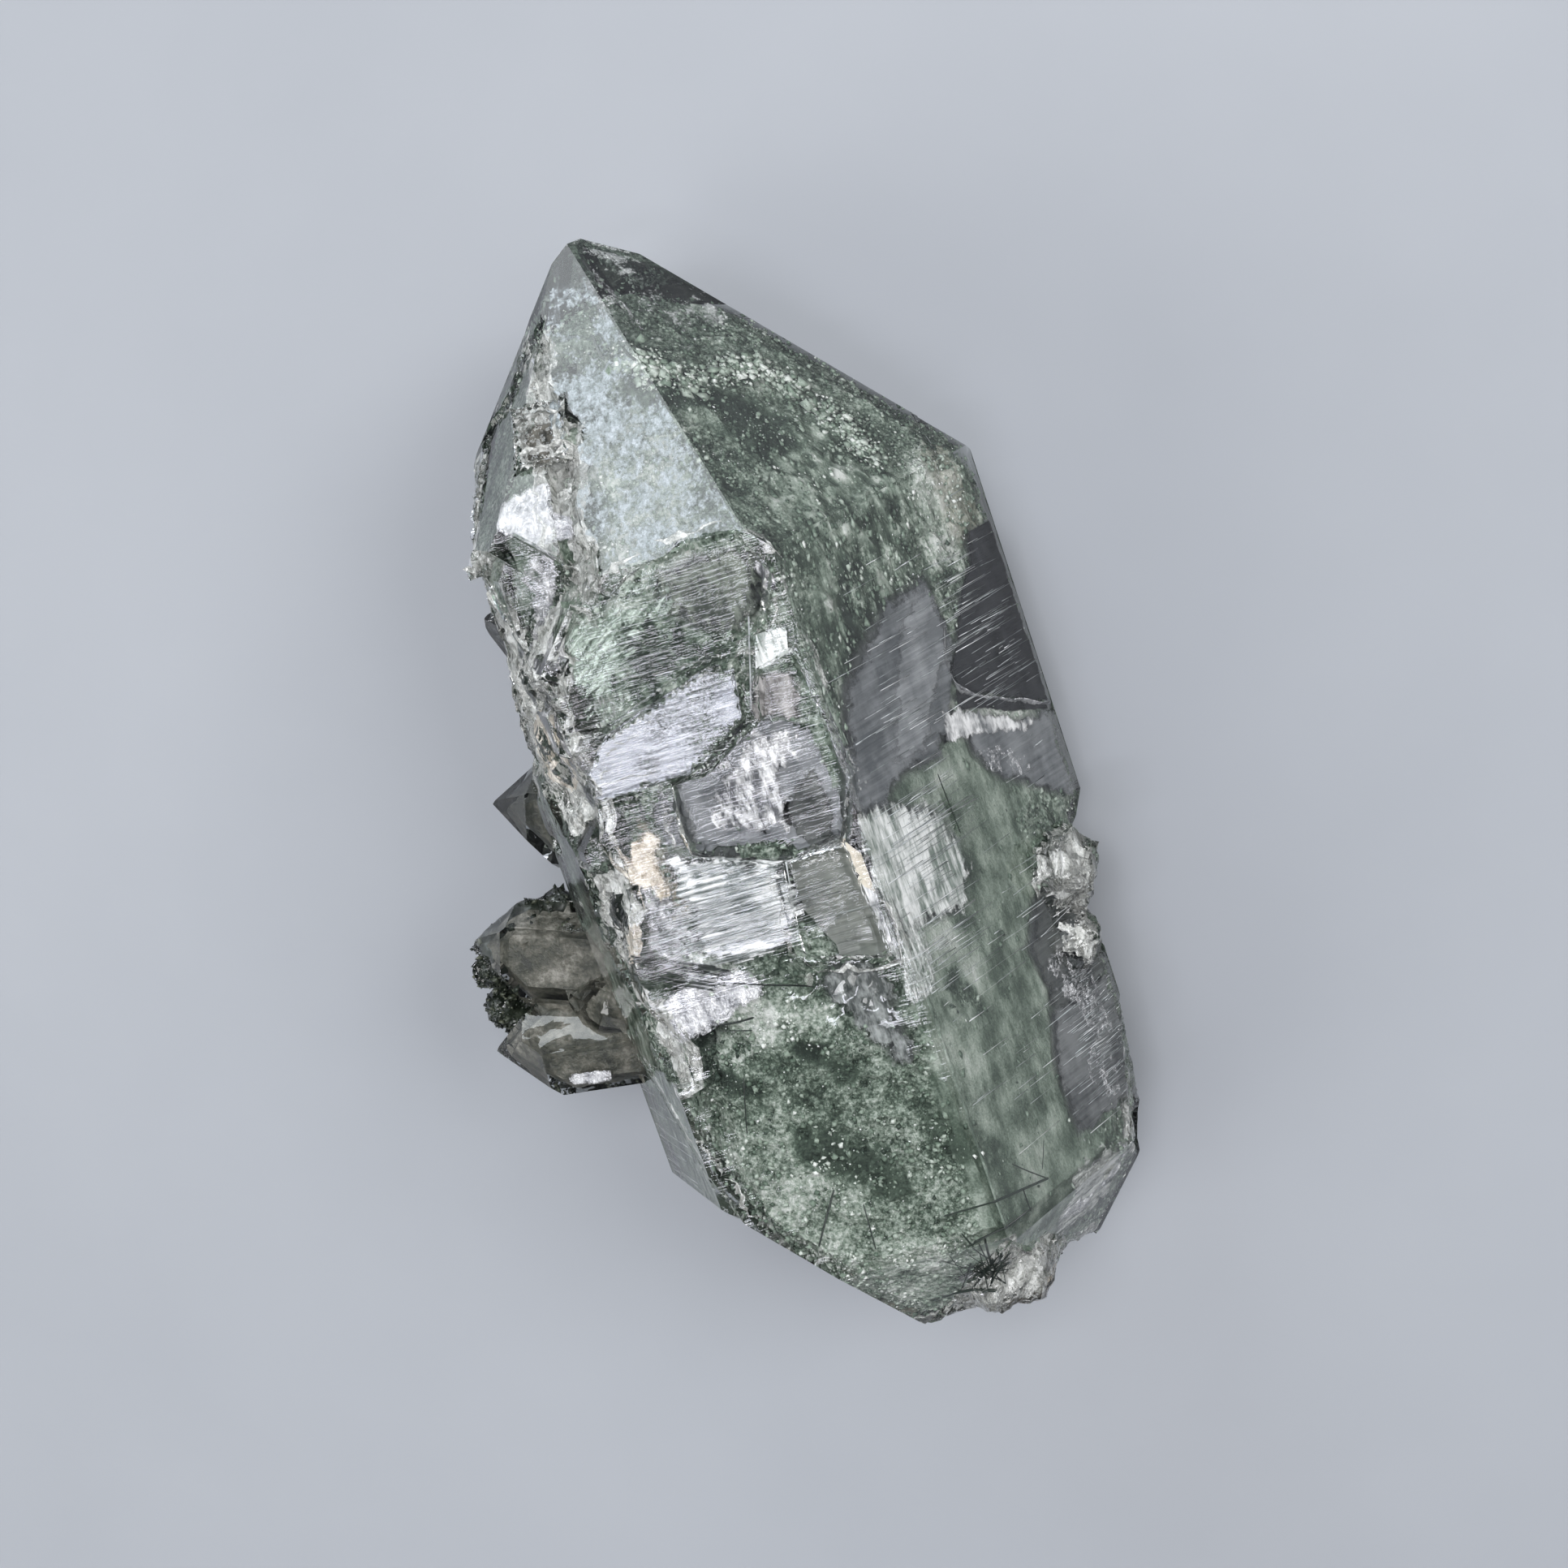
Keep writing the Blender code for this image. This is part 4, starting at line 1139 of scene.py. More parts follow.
def dark_crust(solid_mesh, solid):
    """Dark lumps in the crust's knobs, with small dark crystals that crowd on them."""
    random = np.random.default_rng(19)
    points, faces = points_of(solid_mesh), triangles_of(solid_mesh)
    near = np.zeros(len(points))
    for knob in CRUST_KNOBS:
        near = np.maximum(near, np.linalg.norm(points - np.array(knob), axis=1) < CRUST_REACH)
    place, normal, _ = scatter(points, faces, near + 1e-9, CRUST_CRYSTALS, random)
    sizes = 0.10 + random.gamma(2.0, 0.05, len(place))
    place = place - normal * (0.75 * sizes)[:, None]
    material = grain_material("dark_crust", CRUST_STOPS, 0.3)
    crust_cores(material, solid)
    piece = grains("dark_crust", place, sizes, random.random(len(place)), material, random)
    flat = np.empty(len(piece.data.vertices) * 3, np.float32)
    piece.data.vertices.foreach_get("co", flat)
    flat = np.clip(flat.reshape(-1, 3), cad_box[0], cad_box[1])
    piece.data.vertices.foreach_set("co", flat.astype(np.float32).ravel())
    piece.data.update()


# Glassy patches

FILM_THICKNESS = 0.05
PATCH_EDGE = 0.45
PATCH_RELIEF = 0.08


def glass_patches(solid):
    """Thin sheets with crisp or ragged outlines just under the prism faces."""
    materials = {name: patch_material(name, *tones) for name, tones in GLASS_KINDS.items()}
    centre = np.array(CENTRE)
    for name, (face, reach, kind, ragged, fade, corners) in GLASS_PATCHES.items():
        out, side = face_axes(face)
        bm = bmesh.new()
        for across, along in corners:
            bm.verts.new(centre + out * reach + side * across + (0.0, along, 0.0))
        bm.faces.new(bm.verts)
        bmesh.ops.triangulate(bm, faces=bm.faces)
        refine(bm, PATCH_EDGE)
        points, faces = points_of(bm), triangles_of(bm)
        bm.free()
        if np.cross(*(points[faces[0, 1:]] - points[faces[0, 0]])) @ out < 0:
            faces = faces[:, ::-1]
        flat = np.stack([(points - centre) @ side, points[:, 1]], axis=1)
        cover = smooth(-outline_gap(flat, np.array(corners)) / fade) if fade else np.ones(len(points))
        wander = [layered_noise(points, 1.1, seed) * ragged for seed in (111, 112)]
        points = points + side * wander[0][:, None]
        points[:, 1] += wander[1]
        points = points + out * (PATCH_RELIEF * layered_noise(points, 0.8, 113))[:, None]
        points = keep_inside(points, solid, 0.2)
        body, body_faces = film(points, faces, out * FILM_THICKNESS)
        fields = {"cover": np.tile(cover, 2)}
        add_piece(name, body, body_faces, materials[kind], fields, smooth_under=40)


# Fractures inside the crystal, and two films that paint a highlight and a reflection: middle, two half
# sides, height of the ripples, cover and noise seed.
VEILS = {
    "veil_white_patch": ((-7.8, -9.2, 22.6), (3.6, 1.2, 0.0), (0.6, -1.5, 0.0), 0.20, 1.1, 1),
    "veil_below_plate": ((1.9, 5.0, 21.65), (1.9, -0.5, 0.0), (-0.5, 1.7, 0.0), 0.08, 0.30, 2),
    "veil_step_lower": ((-0.4, 1.6, 21.65), (1.5, -0.4, 0.0), (0.5, 1.9, 0.0), 0.08, 0.15, 4),
    "veil_shoulder": ((-9.9, 22.9, 19.2), (2.8, -0.2, 0.1), (-0.3, 1.8, -1.3), 0.25, 1.1, 5),
    "veil_smoky_block": ((-8.2, 27.1, 16.7), (1.5, 0.1, -0.1), (0.2, 1.5, -1.0), 0.10, 1.1, 31),
    "veil_end_fibres": ((9.6, -31.2, 12.8), (2.4, 0.0, -4.2), (1.7, 2.5, 1.0), 0.15, 0.8, 29),
    # Painted highlight: a silver film along the lower edge of the side pair.
    "veil_pair_painted_highlight": ((-20.2, -14.4, 15.2), (1.4, -0.3, -0.1), (0.1, 0.5, 0.0), 0.10, 1.1, 30),
    "veil_right_patch": ((12.4, -2.6, 10.2), (1.3, -1.6, -2.4), (-0.3, -1.0, 0.5), 0.20, 0.1, 8),
    "veil_grey_window": ((9.0, 5.6, 15.6), (2.2, 0.5, -3.9), (-0.2, 5.0, 0.8), 0.25, -0.55, 9),
    # Painted reflection: a white streaked band for an inner reflection near the front edge.
    "veil_painted_reflection": ((5.0, -7.0, 21.5), (0.3, -5.8, -0.2), (1.2, 0.3, -2.0), 0.12, 0.7, 11),
    "veil_left_blocks": ((-8.6, -4.4, 21.8), (3.0, -0.9, 0.6), (-0.6, -3.0, -0.2), 0.5, 0.6, 12),
    "veil_lower_right": ((9.6, -30.4, 12.4), (1.7, -1.2, -3.6), (-0.8, -2.8, 0.6), 0.6, 0.7, 13),
    "veil_left_band": ((-12.4, 5.6, 17.0), (0.6, 5.4, 0.4), (-1.7, 0.2, -2.1), 0.6, 0.6, 14),
    "veil_upper_band": ((-11.4, 16.4, 17.6), (0.6, 4.6, -0.8), (-1.5, 0.4, -1.8), 0.6, 0.6, 15),
    "veil_end": ((2.6, -33.4, 17.6), (2.2, 0.2, -0.8), (-0.3, -1.6, -2.0), 0.5, 0.8, 18),
    "veil_tip": ((-3.0, 34.2, 9.4), (2.2, -0.9, 2.4), (-1.1, 3.0, -1.1), 0.3, 0.0, 19),
    "veil_right_edge": ((12.6, -20.0, 10.4), (1.0, 0.2, -2.4), (-0.2, 6.4, 0.5), 0.4, 0.1, 20),
    "veil_pair_upper": ((-16.6, -7.4, 12.0), (2.4, 0.5, 0.6), (-0.4, -1.7, -1.0), 0.4, 0.3, 24),
    "veil_pair_lower": ((-14.6, -12.6, 12.4), (3.2, -0.9, 0.2), (-0.3, -1.6, -1.4), 0.4, 0.3, 25),
    "veil_pair_edge": ((-15.0, -15.2, 12.0), (2.2, -0.5, 0.2), (0.1, -0.3, -0.7), 0.3, 0.5, 26),
    "veil_green_streaks": ((-6.8, 14.6, 22.0), (5.0, 3.1, 0.0), (-1.2, 2.0, 0.0), 0.2, 0.55, 27),
    "veil_cream_patch": ((-9.2, 0.4, 22.6), (1.2, -0.5, 0.1), (-0.4, -2.4, 0.0), 0.3, 1.0, 28),
    "veil_back_a": ((9.6, 10.0, 3.6), (3.6, 1.4, 1.2), (-1.0, 4.8, 0.5), 0.5, 0.4, 21),
    "veil_back_b": ((-7.0, -20.0, 3.0), (4.2, -1.0, 0.6), (0.8, 4.2, -0.6), 0.5, 0.4, 22),
    "veil_back_c": ((-10.0, 12.0, 5.0), (2.8, 0.6, -2.8), (0.6, 4.4, 0.6), 0.5, 0.4, 23),
}
# The film of each veil that isn't of the common silver one.
VEIL_FILMS = {
    "veil_below_plate": "step_flecks", "veil_step_lower": "step_flecks",
    "veil_green_streaks": "green_streaks", "veil_cream_patch": "cream_patch",
    "veil_painted_reflection": "painted_reflection_streaks", "veil_end_fibres": "end_fibres",
    "veil_smoky_block": "smoky_block",
}
VEIL_STEPS = 34
# Where a veil's ragged rim is cut, as a share of its reach.
VEIL_RIM = 0.98


def fracture_veils(films, solid):
    """Thin rippled films with ragged outlines."""
    for name, (middle, half_u, half_v, ripples, cover, seed) in VEILS.items():
        u, v = np.array(half_u, float), np.array(half_v, float)
        out = np.cross(u, v)
        out /= np.linalg.norm(out)
        bm = bmesh.new()
        bmesh.ops.create_grid(bm, x_segments=VEIL_STEPS, y_segments=VEIL_STEPS, size=1.0)
        at = points_of(bm)
        flat = np.array(middle) + at[:, :1] * u + at[:, 1:2] * v
        rise = layered_noise(flat, 0.7, 200 + seed) + 0.35 * broken_facets(flat, 0.8, 300 + seed)
        corner = np.abs(at[:, :2]) ** 3
        reach = corner.sum(axis=1) ** (1 / 3) + 0.6 * layered_noise(flat, 0.5, 400 + seed)
        place = keep_inside(flat + out * (rise * ripples)[:, None], solid, 0.2)
        for vert, point in zip(bm.verts, place):
            vert.co = point
        kept = reach < VEIL_RIM
        cut = [vert for vert, keep in zip(bm.verts, kept) if not keep]
        bmesh.ops.delete(bm, geom=cut, context="VERTS")
        bmesh.ops.triangulate(bm, faces=bm.faces)
        points, faces = film(points_of(bm), triangles_of(bm), out * FILM_THICKNESS)
        bm.free()
        fade = cover - 1.3 * (1.0 - smooth((VEIL_RIM - reach[kept]) / 0.4))
        material = films[VEIL_FILMS.get(name, "fracture_film")]
        add_piece(name, points, faces, material, {"cover": np.tile(fade, 2)}, smooth_under=40)


# Films under the skin

# Their depth under the surface: the mean, and each layer's noise, height, fineness and seed.
FROST_DEPTH = (0.75, (layered_noise, 0.35, 0.9, 501), (broken_facets, 0.25, 0.9, 502))
SHEEN_DEPTH = (0.22, (layered_noise, 0.06, 0.9, 504))
TIP_DEPTH = (0.8, (layered_noise, 0.3, 0.6, 506))
LEAST_FROST_DEPTH = 0.3
FROST_COVER = 0.68
COVER_FINENESS = 0.45
# Where the frost is stained cream: middle and radius.
WARM_FROST = (
    ((-9.3, 0.2, 22.5), 2.6), ((3.6, -36.4, 15.0), 2.4), ((-13.0, 8.0, 17.0), 3.0),
    ((-11.0, -5.0, 22.0), 2.0))
# The front of the crystal, where the steps are clean: middle and radius.
CLEAN_FRONT = ((2.5, 4.0, 23.0), 8.5)


def under_skin(name, skin, part, layers, cover, material, solid):
    """A film that follows chosen triangles of the crystal's surface at a depth of its own."""
    points, normals, _, _ = skin
    used, small = np.unique(part, return_inverse=True)
    surface, outward = points[used], normals[used]
    depth = relief(surface, *layers)
    fade = cover + 0.9 * layered_noise(surface, COVER_FINENESS, 503)
    if name.startswith("frosted"):
        depth = np.clip(depth, LEAST_FROST_DEPTH, None)
        middle, radius = CLEAN_FRONT
        fade -= 1.2 * np.exp(-(np.linalg.norm(surface - np.array(middle), axis=1) / radius) ** 2)
    place = keep_inside(surface - outward * depth[:, None], solid, 0.15)
    body, body_faces = film(place, small.reshape(part.shape), outward * FILM_THICKNESS)
    add_piece(name, body, body_faces, material, {"cover": np.tile(fade, 2)}, smooth_under=30)


def skin_films(skin, films, solid):
    """Frost under the breaks, a painted blue sheen under the upper faces and a painted lavender sheen
    under the plate.
    """
    points, normals, faces, rough = skin
    broken = faces[rough[faces].min(axis=1) > 0.5]
    middles = points[broken].mean(axis=1)
    warm = np.zeros(len(broken), bool)
    for middle, radius in WARM_FROST:
        warm |= np.linalg.norm(middles - np.array(middle), axis=1) < radius
    upper = normals @ np.array(rhomb_normal(0, 1)) > 0.985
    upper &= (points[:, 0] > -7.5) & (points[:, 2] > 10.0)
    tip = (points[:, 1] > 29.4) & (normals[:, 0] > 0.3)
    plate = (points[:, 2] > CENTRE.z + PRISM[0] + 0.4) & (normals[:, 2] > 0.97)
    plate &= (points[:, 1] > 0.0) & (points[:, 1] < 13.0)
    upper, tip, plate = (faces[chosen[faces].all(axis=1)] for chosen in (upper, tip, plate))
    for name, part, layers, cover, kind in (
            ("frosted_breaks", broken[~warm], FROST_DEPTH, FROST_COVER, "frosted_film"),
            ("frosted_cream", broken[warm], FROST_DEPTH, FROST_COVER + 0.2, "cream_film"),
            # Painted blue sheen under the upper faces.
            ("upper_painted_sheen", upper, SHEEN_DEPTH, 0.30, "blue_painted_sheen"),
            ("tip_haze", tip, TIP_DEPTH, -0.15, "tip_haze"),
            # Painted lavender sheen under the plate.
            ("plate_sheen", plate, SHEEN_DEPTH, 0.75, "lavender_sheen")):
        under_skin(name, skin, part, layers, cover, films[kind], solid)


# The white curved crack: points under the right face, with the depth it reaches.
CRACK_PATH = (
    (11.6, 7.6, 12.0), (11.3, 6.4, 12.4), (11.1, 5.3, 12.8), (11.2, 3.9, 12.5), (11.9, 2.7, 11.3),
    (13.4, 1.3, 8.7), (14.6, 0.2, 6.6), (15.5, -0.6, 5.2),
)
CRACK_SLANT = (-0.55, -0.75, -0.95)
CRACK_STEPS = (90, 12)


def curved_crack(material, solid):
    """A conchoidal crack that shows as a bright band."""
    path = np.array(CRACK_PATH)
    along, across = CRACK_STEPS
    stations = np.linspace(0.0, len(path) - 1.001, along)
    first = stations.astype(int)
    part = (stations - first)[:, None]
    line = path[first] * (1 - part) + path[first + 1] * part
    for _ in range(6):
        line[1:-1] = (line[:-2] + 2 * line[1:-1] + line[2:]) / 4
    share = np.linspace(0.0, 1.0, across)
    width = 0.35 + 0.65 * smooth(np.minimum(stations, len(path) - 1 - stations) / 2.0)
    grid = line[:, None] + (share[None, :, None] * width[:, None, None]) * np.array(CRACK_SLANT)
    grid = grid.reshape(-1, 3)
    grid += 0.16 * layered_noise(grid, 0.9, 505)[:, None] * np.array((0.3, 1.0, 0.3))
    corner = (np.arange(along - 1)[:, None] * across + np.arange(across - 1)).ravel()
    faces = np.concatenate([
        np.stack([corner, corner + 1, corner + across], axis=1),
        np.stack([corner + 1, corner + across + 1, corner + across], axis=1)])
    place = keep_inside(grid, solid, 0.12)
    body, body_faces = film(place, faces, np.array((0.0, FILM_THICKNESS, 0.0)))
    fade = 1.3 - 0.6 * np.abs(np.tile(share, along) * 2 - 1) ** 3
    add_piece("curved_crack", body, body_faces, material, {"cover": np.tile(fade, 2)}, smooth_under=40)


# Painted glints along the growth lines, standing in for their highlights: prism face, middle, half reach
# across and along, and number.
GLINT_FIELDS = (
    (0, (-5.4, -4.4, 23.0), 4.0, 2.6, 190), (0, (-5.4, 8.6, 24.0), 5.0, 2.8, 50),
    (0, (1.3, -5.0, 23.0), 2.0, 3.0, 8),
    (1, (13.6, 7.0, 9.0), 5.0, 7.0, 120), (1, (9.0, 5.0, 17.0), 5.0, 7.0, 60),
    (1, (7.6, -3.4, 19.0), 4.0, 3.6, 80), (1, (7.4, -10.0, 19.4), 4.0, 5.0, 60),
    (1, (12.6, -14.0, 10.0), 4.6, 5.0, 30), (1, (13.0, -22.6, 9.6), 3.4, 5.0, 190),
    (1, (8.0, -20.0, 18.4), 4.6, 6.0, 16), (2, (12.0, 2.0, 4.0), 4.0, 16.0, 110),
    (3, (0.0, 0.0, 0.5), 7.0, 22.0, 110), (4, (-12.0, 2.0, 5.0), 4.0, 16.0, 110),
    (5, (-13.5, -20.0, 15.0), 3.0, 6.0, 40),
)
# Painted highlights along the edges of the steps and along a crack: start and end.
EDGE_HIGHLIGHTS = (
    ((-0.4, -1.8, 23.2), (3.2, -1.8, 23.2)), ((-0.4, -1.8, 23.2), (-0.75, -4.6, 23.2)),
    ((2.4, 13.7, 23.2), (0.7, 8.1, 23.2)),
)
EDGE_HIGHLIGHT_WIDTH = 0.05
GLINT_STOPS = ((0.1, (0.30, 0.34, 0.33)), (0.6, (0.66, 0.70, 0.72)), (0.95, (0.98, 0.99, 1.0)))


def thread(start, end, out, width):
    """The six points of a three-sided thread."""
    up = np.cross(out, end - start)
    up *= width / np.linalg.norm(up)
    return [point for tip in (start, end) for point in (tip + up, tip - up, tip - out * width)]


def growth_glints(solid):
    """Short bright threads across the prism faces, just under the surface, in one mesh: painted glints
    and edge highlights.
    """
    random = np.random.default_rng(43)
    points, tones = [], []
    for start, end in EDGE_HIGHLIGHTS:
        out = np.array(prism_normal(0))
        points += thread(np.array(start), np.array(end), out, EDGE_HIGHLIGHT_WIDTH)
        tones += [0.8] * 6
    for face, middle, across, reach, count in GLINT_FIELDS:
        out, side = face_axes(face)
        for _ in range(count):
            half = 0.3 + random.gamma(2.0, 0.6)
            width = random.uniform(0.008, 0.024)
            at = np.array(middle) + side * random.normal(0.0, 0.5) * across
            at[1] += random.normal(0.0, 0.5) * reach
            level = PRISM[face] - random.uniform(0.08, 0.5)
            at += out * (level - (at - np.array(CENTRE)) @ out)
            run = half * (side + (0.0, random.normal(0.0, 0.02), 0.0))
            points += thread(at - run, at + run, out, width)
            tones += [random.beta(1.6, 1.4)] * 6
    prism = [(0, 1, 4), (0, 4, 3), (1, 2, 5), (1, 5, 4), (2, 0, 3), (2, 3, 5), (2, 1, 0), (3, 4, 5)]
    firsts = 6 * np.arange(len(points) // 6)
    faces = (np.array(prism)[None] + firsts[:, None, None]).reshape(-1, 3)
    place = keep_inside(np.array(points), solid, 0.06)
    material = grain_material("growth_glints", GLINT_STOPS, 0.3, 0.3)
    add_piece("growth_glints", place, faces, material, {"tone": tones})


# Needles: start, end and radius. They are moved along the view to just under the front faces.
NEEDLES = (
    ((1.9, -27.0, 23.4), (5.2, -26.9, 23.3), 0.06), ((5.2, -26.9, 23.3), (8.0, -28.0, 18.8), 0.09),
    ((6.6, -25.6, 21.1), (8.0, -28.0, 18.8), 0.05), ((3.2, -29.2, 23.4), (6.8, -28.9, 20.9), 0.07),
    ((6.7, -27.5, 20.9), (6.7, -29.0, 20.9), 0.06), ((2.6, -28.5, 23.4), (3.5, -31.5, 21.8), 0.06),
    ((3.9, -29.2, 23.4), (3.3, -31.8, 21.6), 0.08), ((2.8, -29.4, 23.4), (5.4, -28.8, 23.2), 0.05),
    ((-0.8, -33.7, 20.1), (2.9, -33.6, 21.4), 0.13), ((8.4, -25.7, 18.1), (7.9, -27.2, 18.9), 0.04),
    ((-4.7, -23.7, 22.7), (-7.2, -27.4, 21.2), 0.07), ((-7.8, -14.8, 22.9), (-8.8, -18.4, 22.9), 0.04),
    ((-3.2, -25.2, 22.4), (-3.8, -28.6, 20.8), 0.05), ((-3.9, 32.0, 12.4), (-3.4, 30.5, 13.6), 0.10),
    ((-3.5, 32.0, 12.2), (-3.0, 30.9, 13.0), 0.06), ((-7.4, -8.2, 22.9), (-1.5, -10.1, 22.9), 0.06),
    ((-8.1, -11.0, 22.8), (-5.9, -11.1, 22.8), 0.07), ((-8.3, -11.4, 22.7), (-6.3, -11.9, 22.7), 0.05),
    ((9.1, -0.7, 16.3), (9.2, -4.8, 16.0), 0.05), ((-1.7, 30.9, 14.4), (-1.2, 30.0, 14.6), 0.09),
)
# A nest of needles in the lower end: middle, number and longest half length.
NEST_MIDDLE = (3.0, -32.0, 21.4)
NEST_NEEDLES = 30
NEST_REACH = 1.7
# A bundle of needles that fans out of the left side.
BUNDLE_START = (-12.6, -5.8, 22.2)
BUNDLE_END = (-6.2, -7.9, 22.8)
BUNDLE_NEEDLES = 9
NEEDLE_DEPTH = 0.20
NEEDLE_STOPS = ((0.1, (0.006, 0.010, 0.008)), (0.9, (0.030, 0.042, 0.034)))


def below_surface(point, solid, depth):
    """The point moved along the view to a depth under the surface over it."""
    back = toward_camera()
    hit, _, _, _ = solid.ray_cast(Vector(point) + back * 20.0, -back)
    return np.array(point) if hit is None else np.array(hit - back * depth)


def needles(solid):
    """Thin dark six-sided rods with pointed ends, in one mesh."""
    random = np.random.default_rng(31)
    rods = []
    for start, end, radius in NEEDLES:
        ends = [below_surface(point, solid, NEEDLE_DEPTH) for point in (start, end)]
        rods.append((ends[0], ends[1], radius))
    for _ in range(BUNDLE_NEEDLES):
        spread = random.uniform(-1.0, 1.0, 3) * (0.3, 0.55, 0.25)
        start = np.array(BUNDLE_START) + spread + (random.uniform(0.0, 1.5), 0.0, 0.0)
        end = np.array(BUNDLE_END) + spread * 1.3 - (random.uniform(0.0, 1.5), 0.0, 0.0)
        start, end = (below_surface(point, solid, NEEDLE_DEPTH) for point in (start, end))
        rods.append((start, end, random.uniform(0.05, 0.09)))
    for _ in range(NEST_NEEDLES):
        middle = np.array(NEST_MIDDLE) + random.normal(0.0, 0.6, 3) * (1.8, 0.6, 1.0)
        turn, half = random.normal(0.5, 0.8), random.uniform(0.3, NEST_REACH)
        reach = half * np.array((math.cos(turn), math.sin(turn), 0.0))
        start, end = (below_surface(middle + way * reach, solid, NEEDLE_DEPTH) for way in (-1, 1))
        rods.append((start, end, random.uniform(0.025, 0.06)))
    points, faces, tones = [], [], []
    for start, end, radius in rods:
        along = (end - start) / np.linalg.norm(end - start)
        side = np.cross(along, (0.3, 0.2, 0.9))
        side /= np.linalg.norm(side)
        other = np.cross(along, side)
        first = len(points)
        points.append(start - along * radius * 2)
        for middle in (start, (start + end) / 2 + side * radius * random.uniform(-1, 1), end):
            for k in range(6):
                turn = math.radians(60 * k)
                points.append(middle + radius * (side * math.cos(turn) + other * math.sin(turn)))
        points.append(end + along * radius * 2)
        last = len(points) - 1
        for k in range(6):
            after = (k + 1) % 6
            faces.append((first, first + 1 + after, first + 1 + k))
            for ring in (0, 6):
                a, b = first + 1 + ring + k, first + 1 + ring + after
                faces += [(a, b, b + 6), (a, b + 6, a + 6)]
            faces.append((last, first + 13 + k, first + 13 + after))
        tones += [random.random()] * (last - first + 1)
    place = keep_inside(np.array(points), solid, 0.15)
    material = grain_material("dark_needles", NEEDLE_STOPS, 0.35)
    add_piece("dark_needles", place, faces, material, {"tone": tones}, smooth_under=40)


# Stage, light and camera

# The photograph's width in pixels and its scale at the crystal.
FRAME_PIXELS = 1932
PIXELS_PER_MM = 18.8
# The camera's distance in millimetres, and how it turns round the long axis, leans along it and rolls.
CAMERA_DISTANCE = 210.0
CAMERA_TURN = math.radians(14.0)
CAMERA_LEAN = math.radians(12.4)
CAMERA_ROLL = math.radians(19.0)
# The photograph's column that the crystal's centre lies in.
AIM_PIXEL_X = 1000.0
SENSOR = 36.0


def toward_camera():
    """The direction from the crystal to the camera."""
    return Vector((
        math.sin(CAMERA_TURN) * math.cos(CAMERA_LEAN), math.sin(CAMERA_LEAN),
        math.cos(CAMERA_TURN) * math.cos(CAMERA_LEAN)))


def add_camera():
    """Looks down on the lying crystal so that it shows as in the photograph."""
    back = toward_camera()
    axis_up = (Vector((0.0, 1.0, 0.0)) - back * back.y).normalized()
    axis_right = axis_up.cross(back)
    up = axis_up * math.cos(CAMERA_ROLL) + axis_right * math.sin(CAMERA_ROLL)
    right = axis_right * math.cos(CAMERA_ROLL) - axis_up * math.sin(CAMERA_ROLL)
    place = Vector(to_frame(CENTRE)) + back * CAMERA_DISTANCE * MM
    data = bpy.data.cameras.new("photo_camera")
    data.sensor_width = SENSOR
    data.lens = SENSOR * CAMERA_DISTANCE * PIXELS_PER_MM / FRAME_PIXELS
    data.shift_x = (FRAME_PIXELS / 2 - AIM_PIXEL_X) / FRAME_PIXELS
    data.clip_start = 0.01
    camera = bpy.data.objects.new("photo_camera", data)
    turn = Matrix((right, up, back)).transposed().to_4x4()
    camera.matrix_world = Matrix.Translation(place) @ turn
    bpy.context.scene.collection.objects.link(camera)
    bpy.context.scene.camera = camera


# Soft boxes: direction from the crystal, two sides in metres, radiance and colour.
LAMP_DISTANCE = 0.70
SOFT_BOXES = {
    "overhead": ((0.10, 0.34, 0.93), (0.34, 0.26), 10.0, (0.97, 0.97, 1.0)),
    "plate_strip": ((-0.28, -0.19, 0.94), (0.26, 0.06), 14.0, (0.90, 0.90, 1.0)),
    "far_end": ((-0.26, 0.90, 0.36), (0.36, 0.30), 4.8, (0.90, 0.96, 1.0)),
    "left_side": ((-0.85, -0.15, 0.50), (0.40, 0.40), 3.6, (1.0, 0.99, 0.97)),
    "right_high": ((0.72, 0.10, 0.68), (0.34, 0.34), 7.0, (1.0, 1.0, 1.0)),
}
WORLD_COLOUR = (0.40, 0.43, 0.47)
WORLD_STRENGTH = 0.30
# Half the floor's side, in metres.
FLOOR_REACH = 2.0


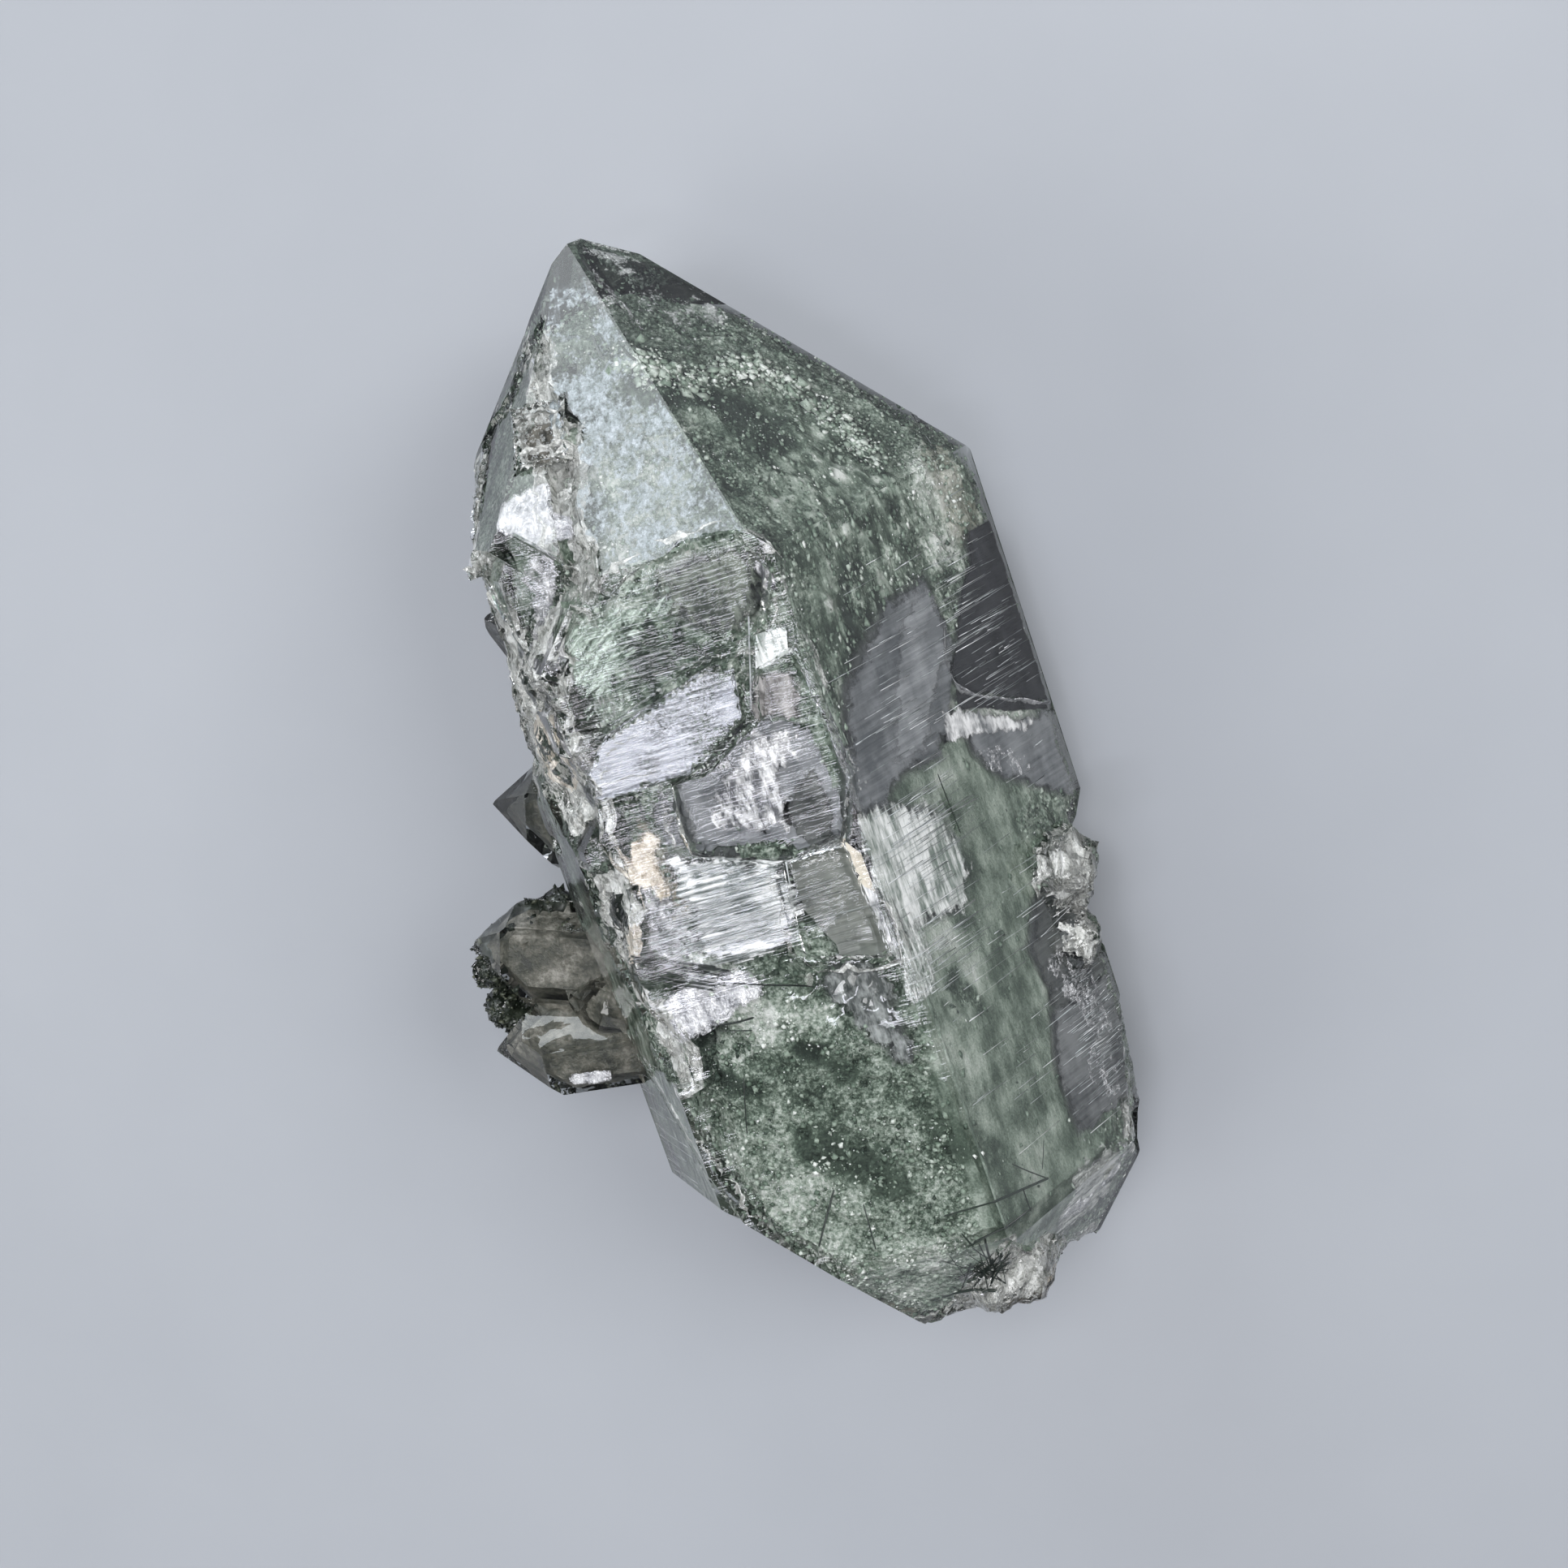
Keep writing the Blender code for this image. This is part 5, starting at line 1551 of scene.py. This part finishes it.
def add_lights():
    """Soft boxes that face the crystal, in a dim grey room."""
    for name, (direction, (width, height), radiance, colour) in SOFT_BOXES.items():
        data = bpy.data.lights.new(name, "AREA")
        data.shape = "RECTANGLE"
        data.size, data.size_y = width, height
        data.energy = radiance * math.pi * width * height
        data.color = colour
        lamp = bpy.data.objects.new(name, data)
        toward = Vector(direction).normalized()
        upward = toward.cross(Vector((1.0, 0.0, 0.0))).normalized()
        turn = Matrix((upward.cross(toward), upward, toward)).transposed().to_4x4()
        place = Vector(to_frame(CENTRE)) + toward * LAMP_DISTANCE
        lamp.matrix_world = Matrix.Translation(place) @ turn
        bpy.context.scene.collection.objects.link(lamp)
    world = bpy.data.worlds.new("studio")
    world.use_nodes = True
    background = world.node_tree.nodes["Background"]
    background.inputs["Color"].default_value = (*WORLD_COLOUR, 1.0)
    background.inputs["Strength"].default_value = WORLD_STRENGTH
    bpy.context.scene.world = world


def add_floor():
    """The plain pale floor that the crystal lies on."""
    bm = bmesh.new()
    bmesh.ops.create_grid(bm, x_segments=1, y_segments=1, size=FLOOR_REACH)
    mesh = bpy.data.meshes.new("floor")
    bm.to_mesh(mesh)
    bm.free()
    mesh.materials.append(floor_material())
    floor = bpy.data.objects.new("floor", mesh)
    bpy.context.scene.collection.objects.link(floor)


def build():
    """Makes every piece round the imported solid, then the stage, the camera and the light."""
    solid_mesh = solid_bmesh()
    solid = BVHTree.FromBMesh(solid_mesh)
    skin = clear_crystal(clear_quartz())
    films = {name: film_material(name, *values) for name, values in FILMS.items()}
    phantom_grains(*phantom_shell(phantom_green(), solid), solid)
    smoky_cores(smoky_material(), solid)
    dark_crust(solid_mesh, solid)
    glass_patches(solid)
    fracture_veils(films, solid)
    skin_films(skin, films, solid)
    curved_crack(films["fracture_film"], solid)
    growth_glints(solid)
    needles(solid)
    solid_mesh.free()
    add_floor()
    add_camera()
    add_lights()


build()
scene = bpy.context.scene
scene.cycles.caustics_refractive = False
scene.cycles.caustics_reflective = False
scene.view_settings.view_transform = "Standard"
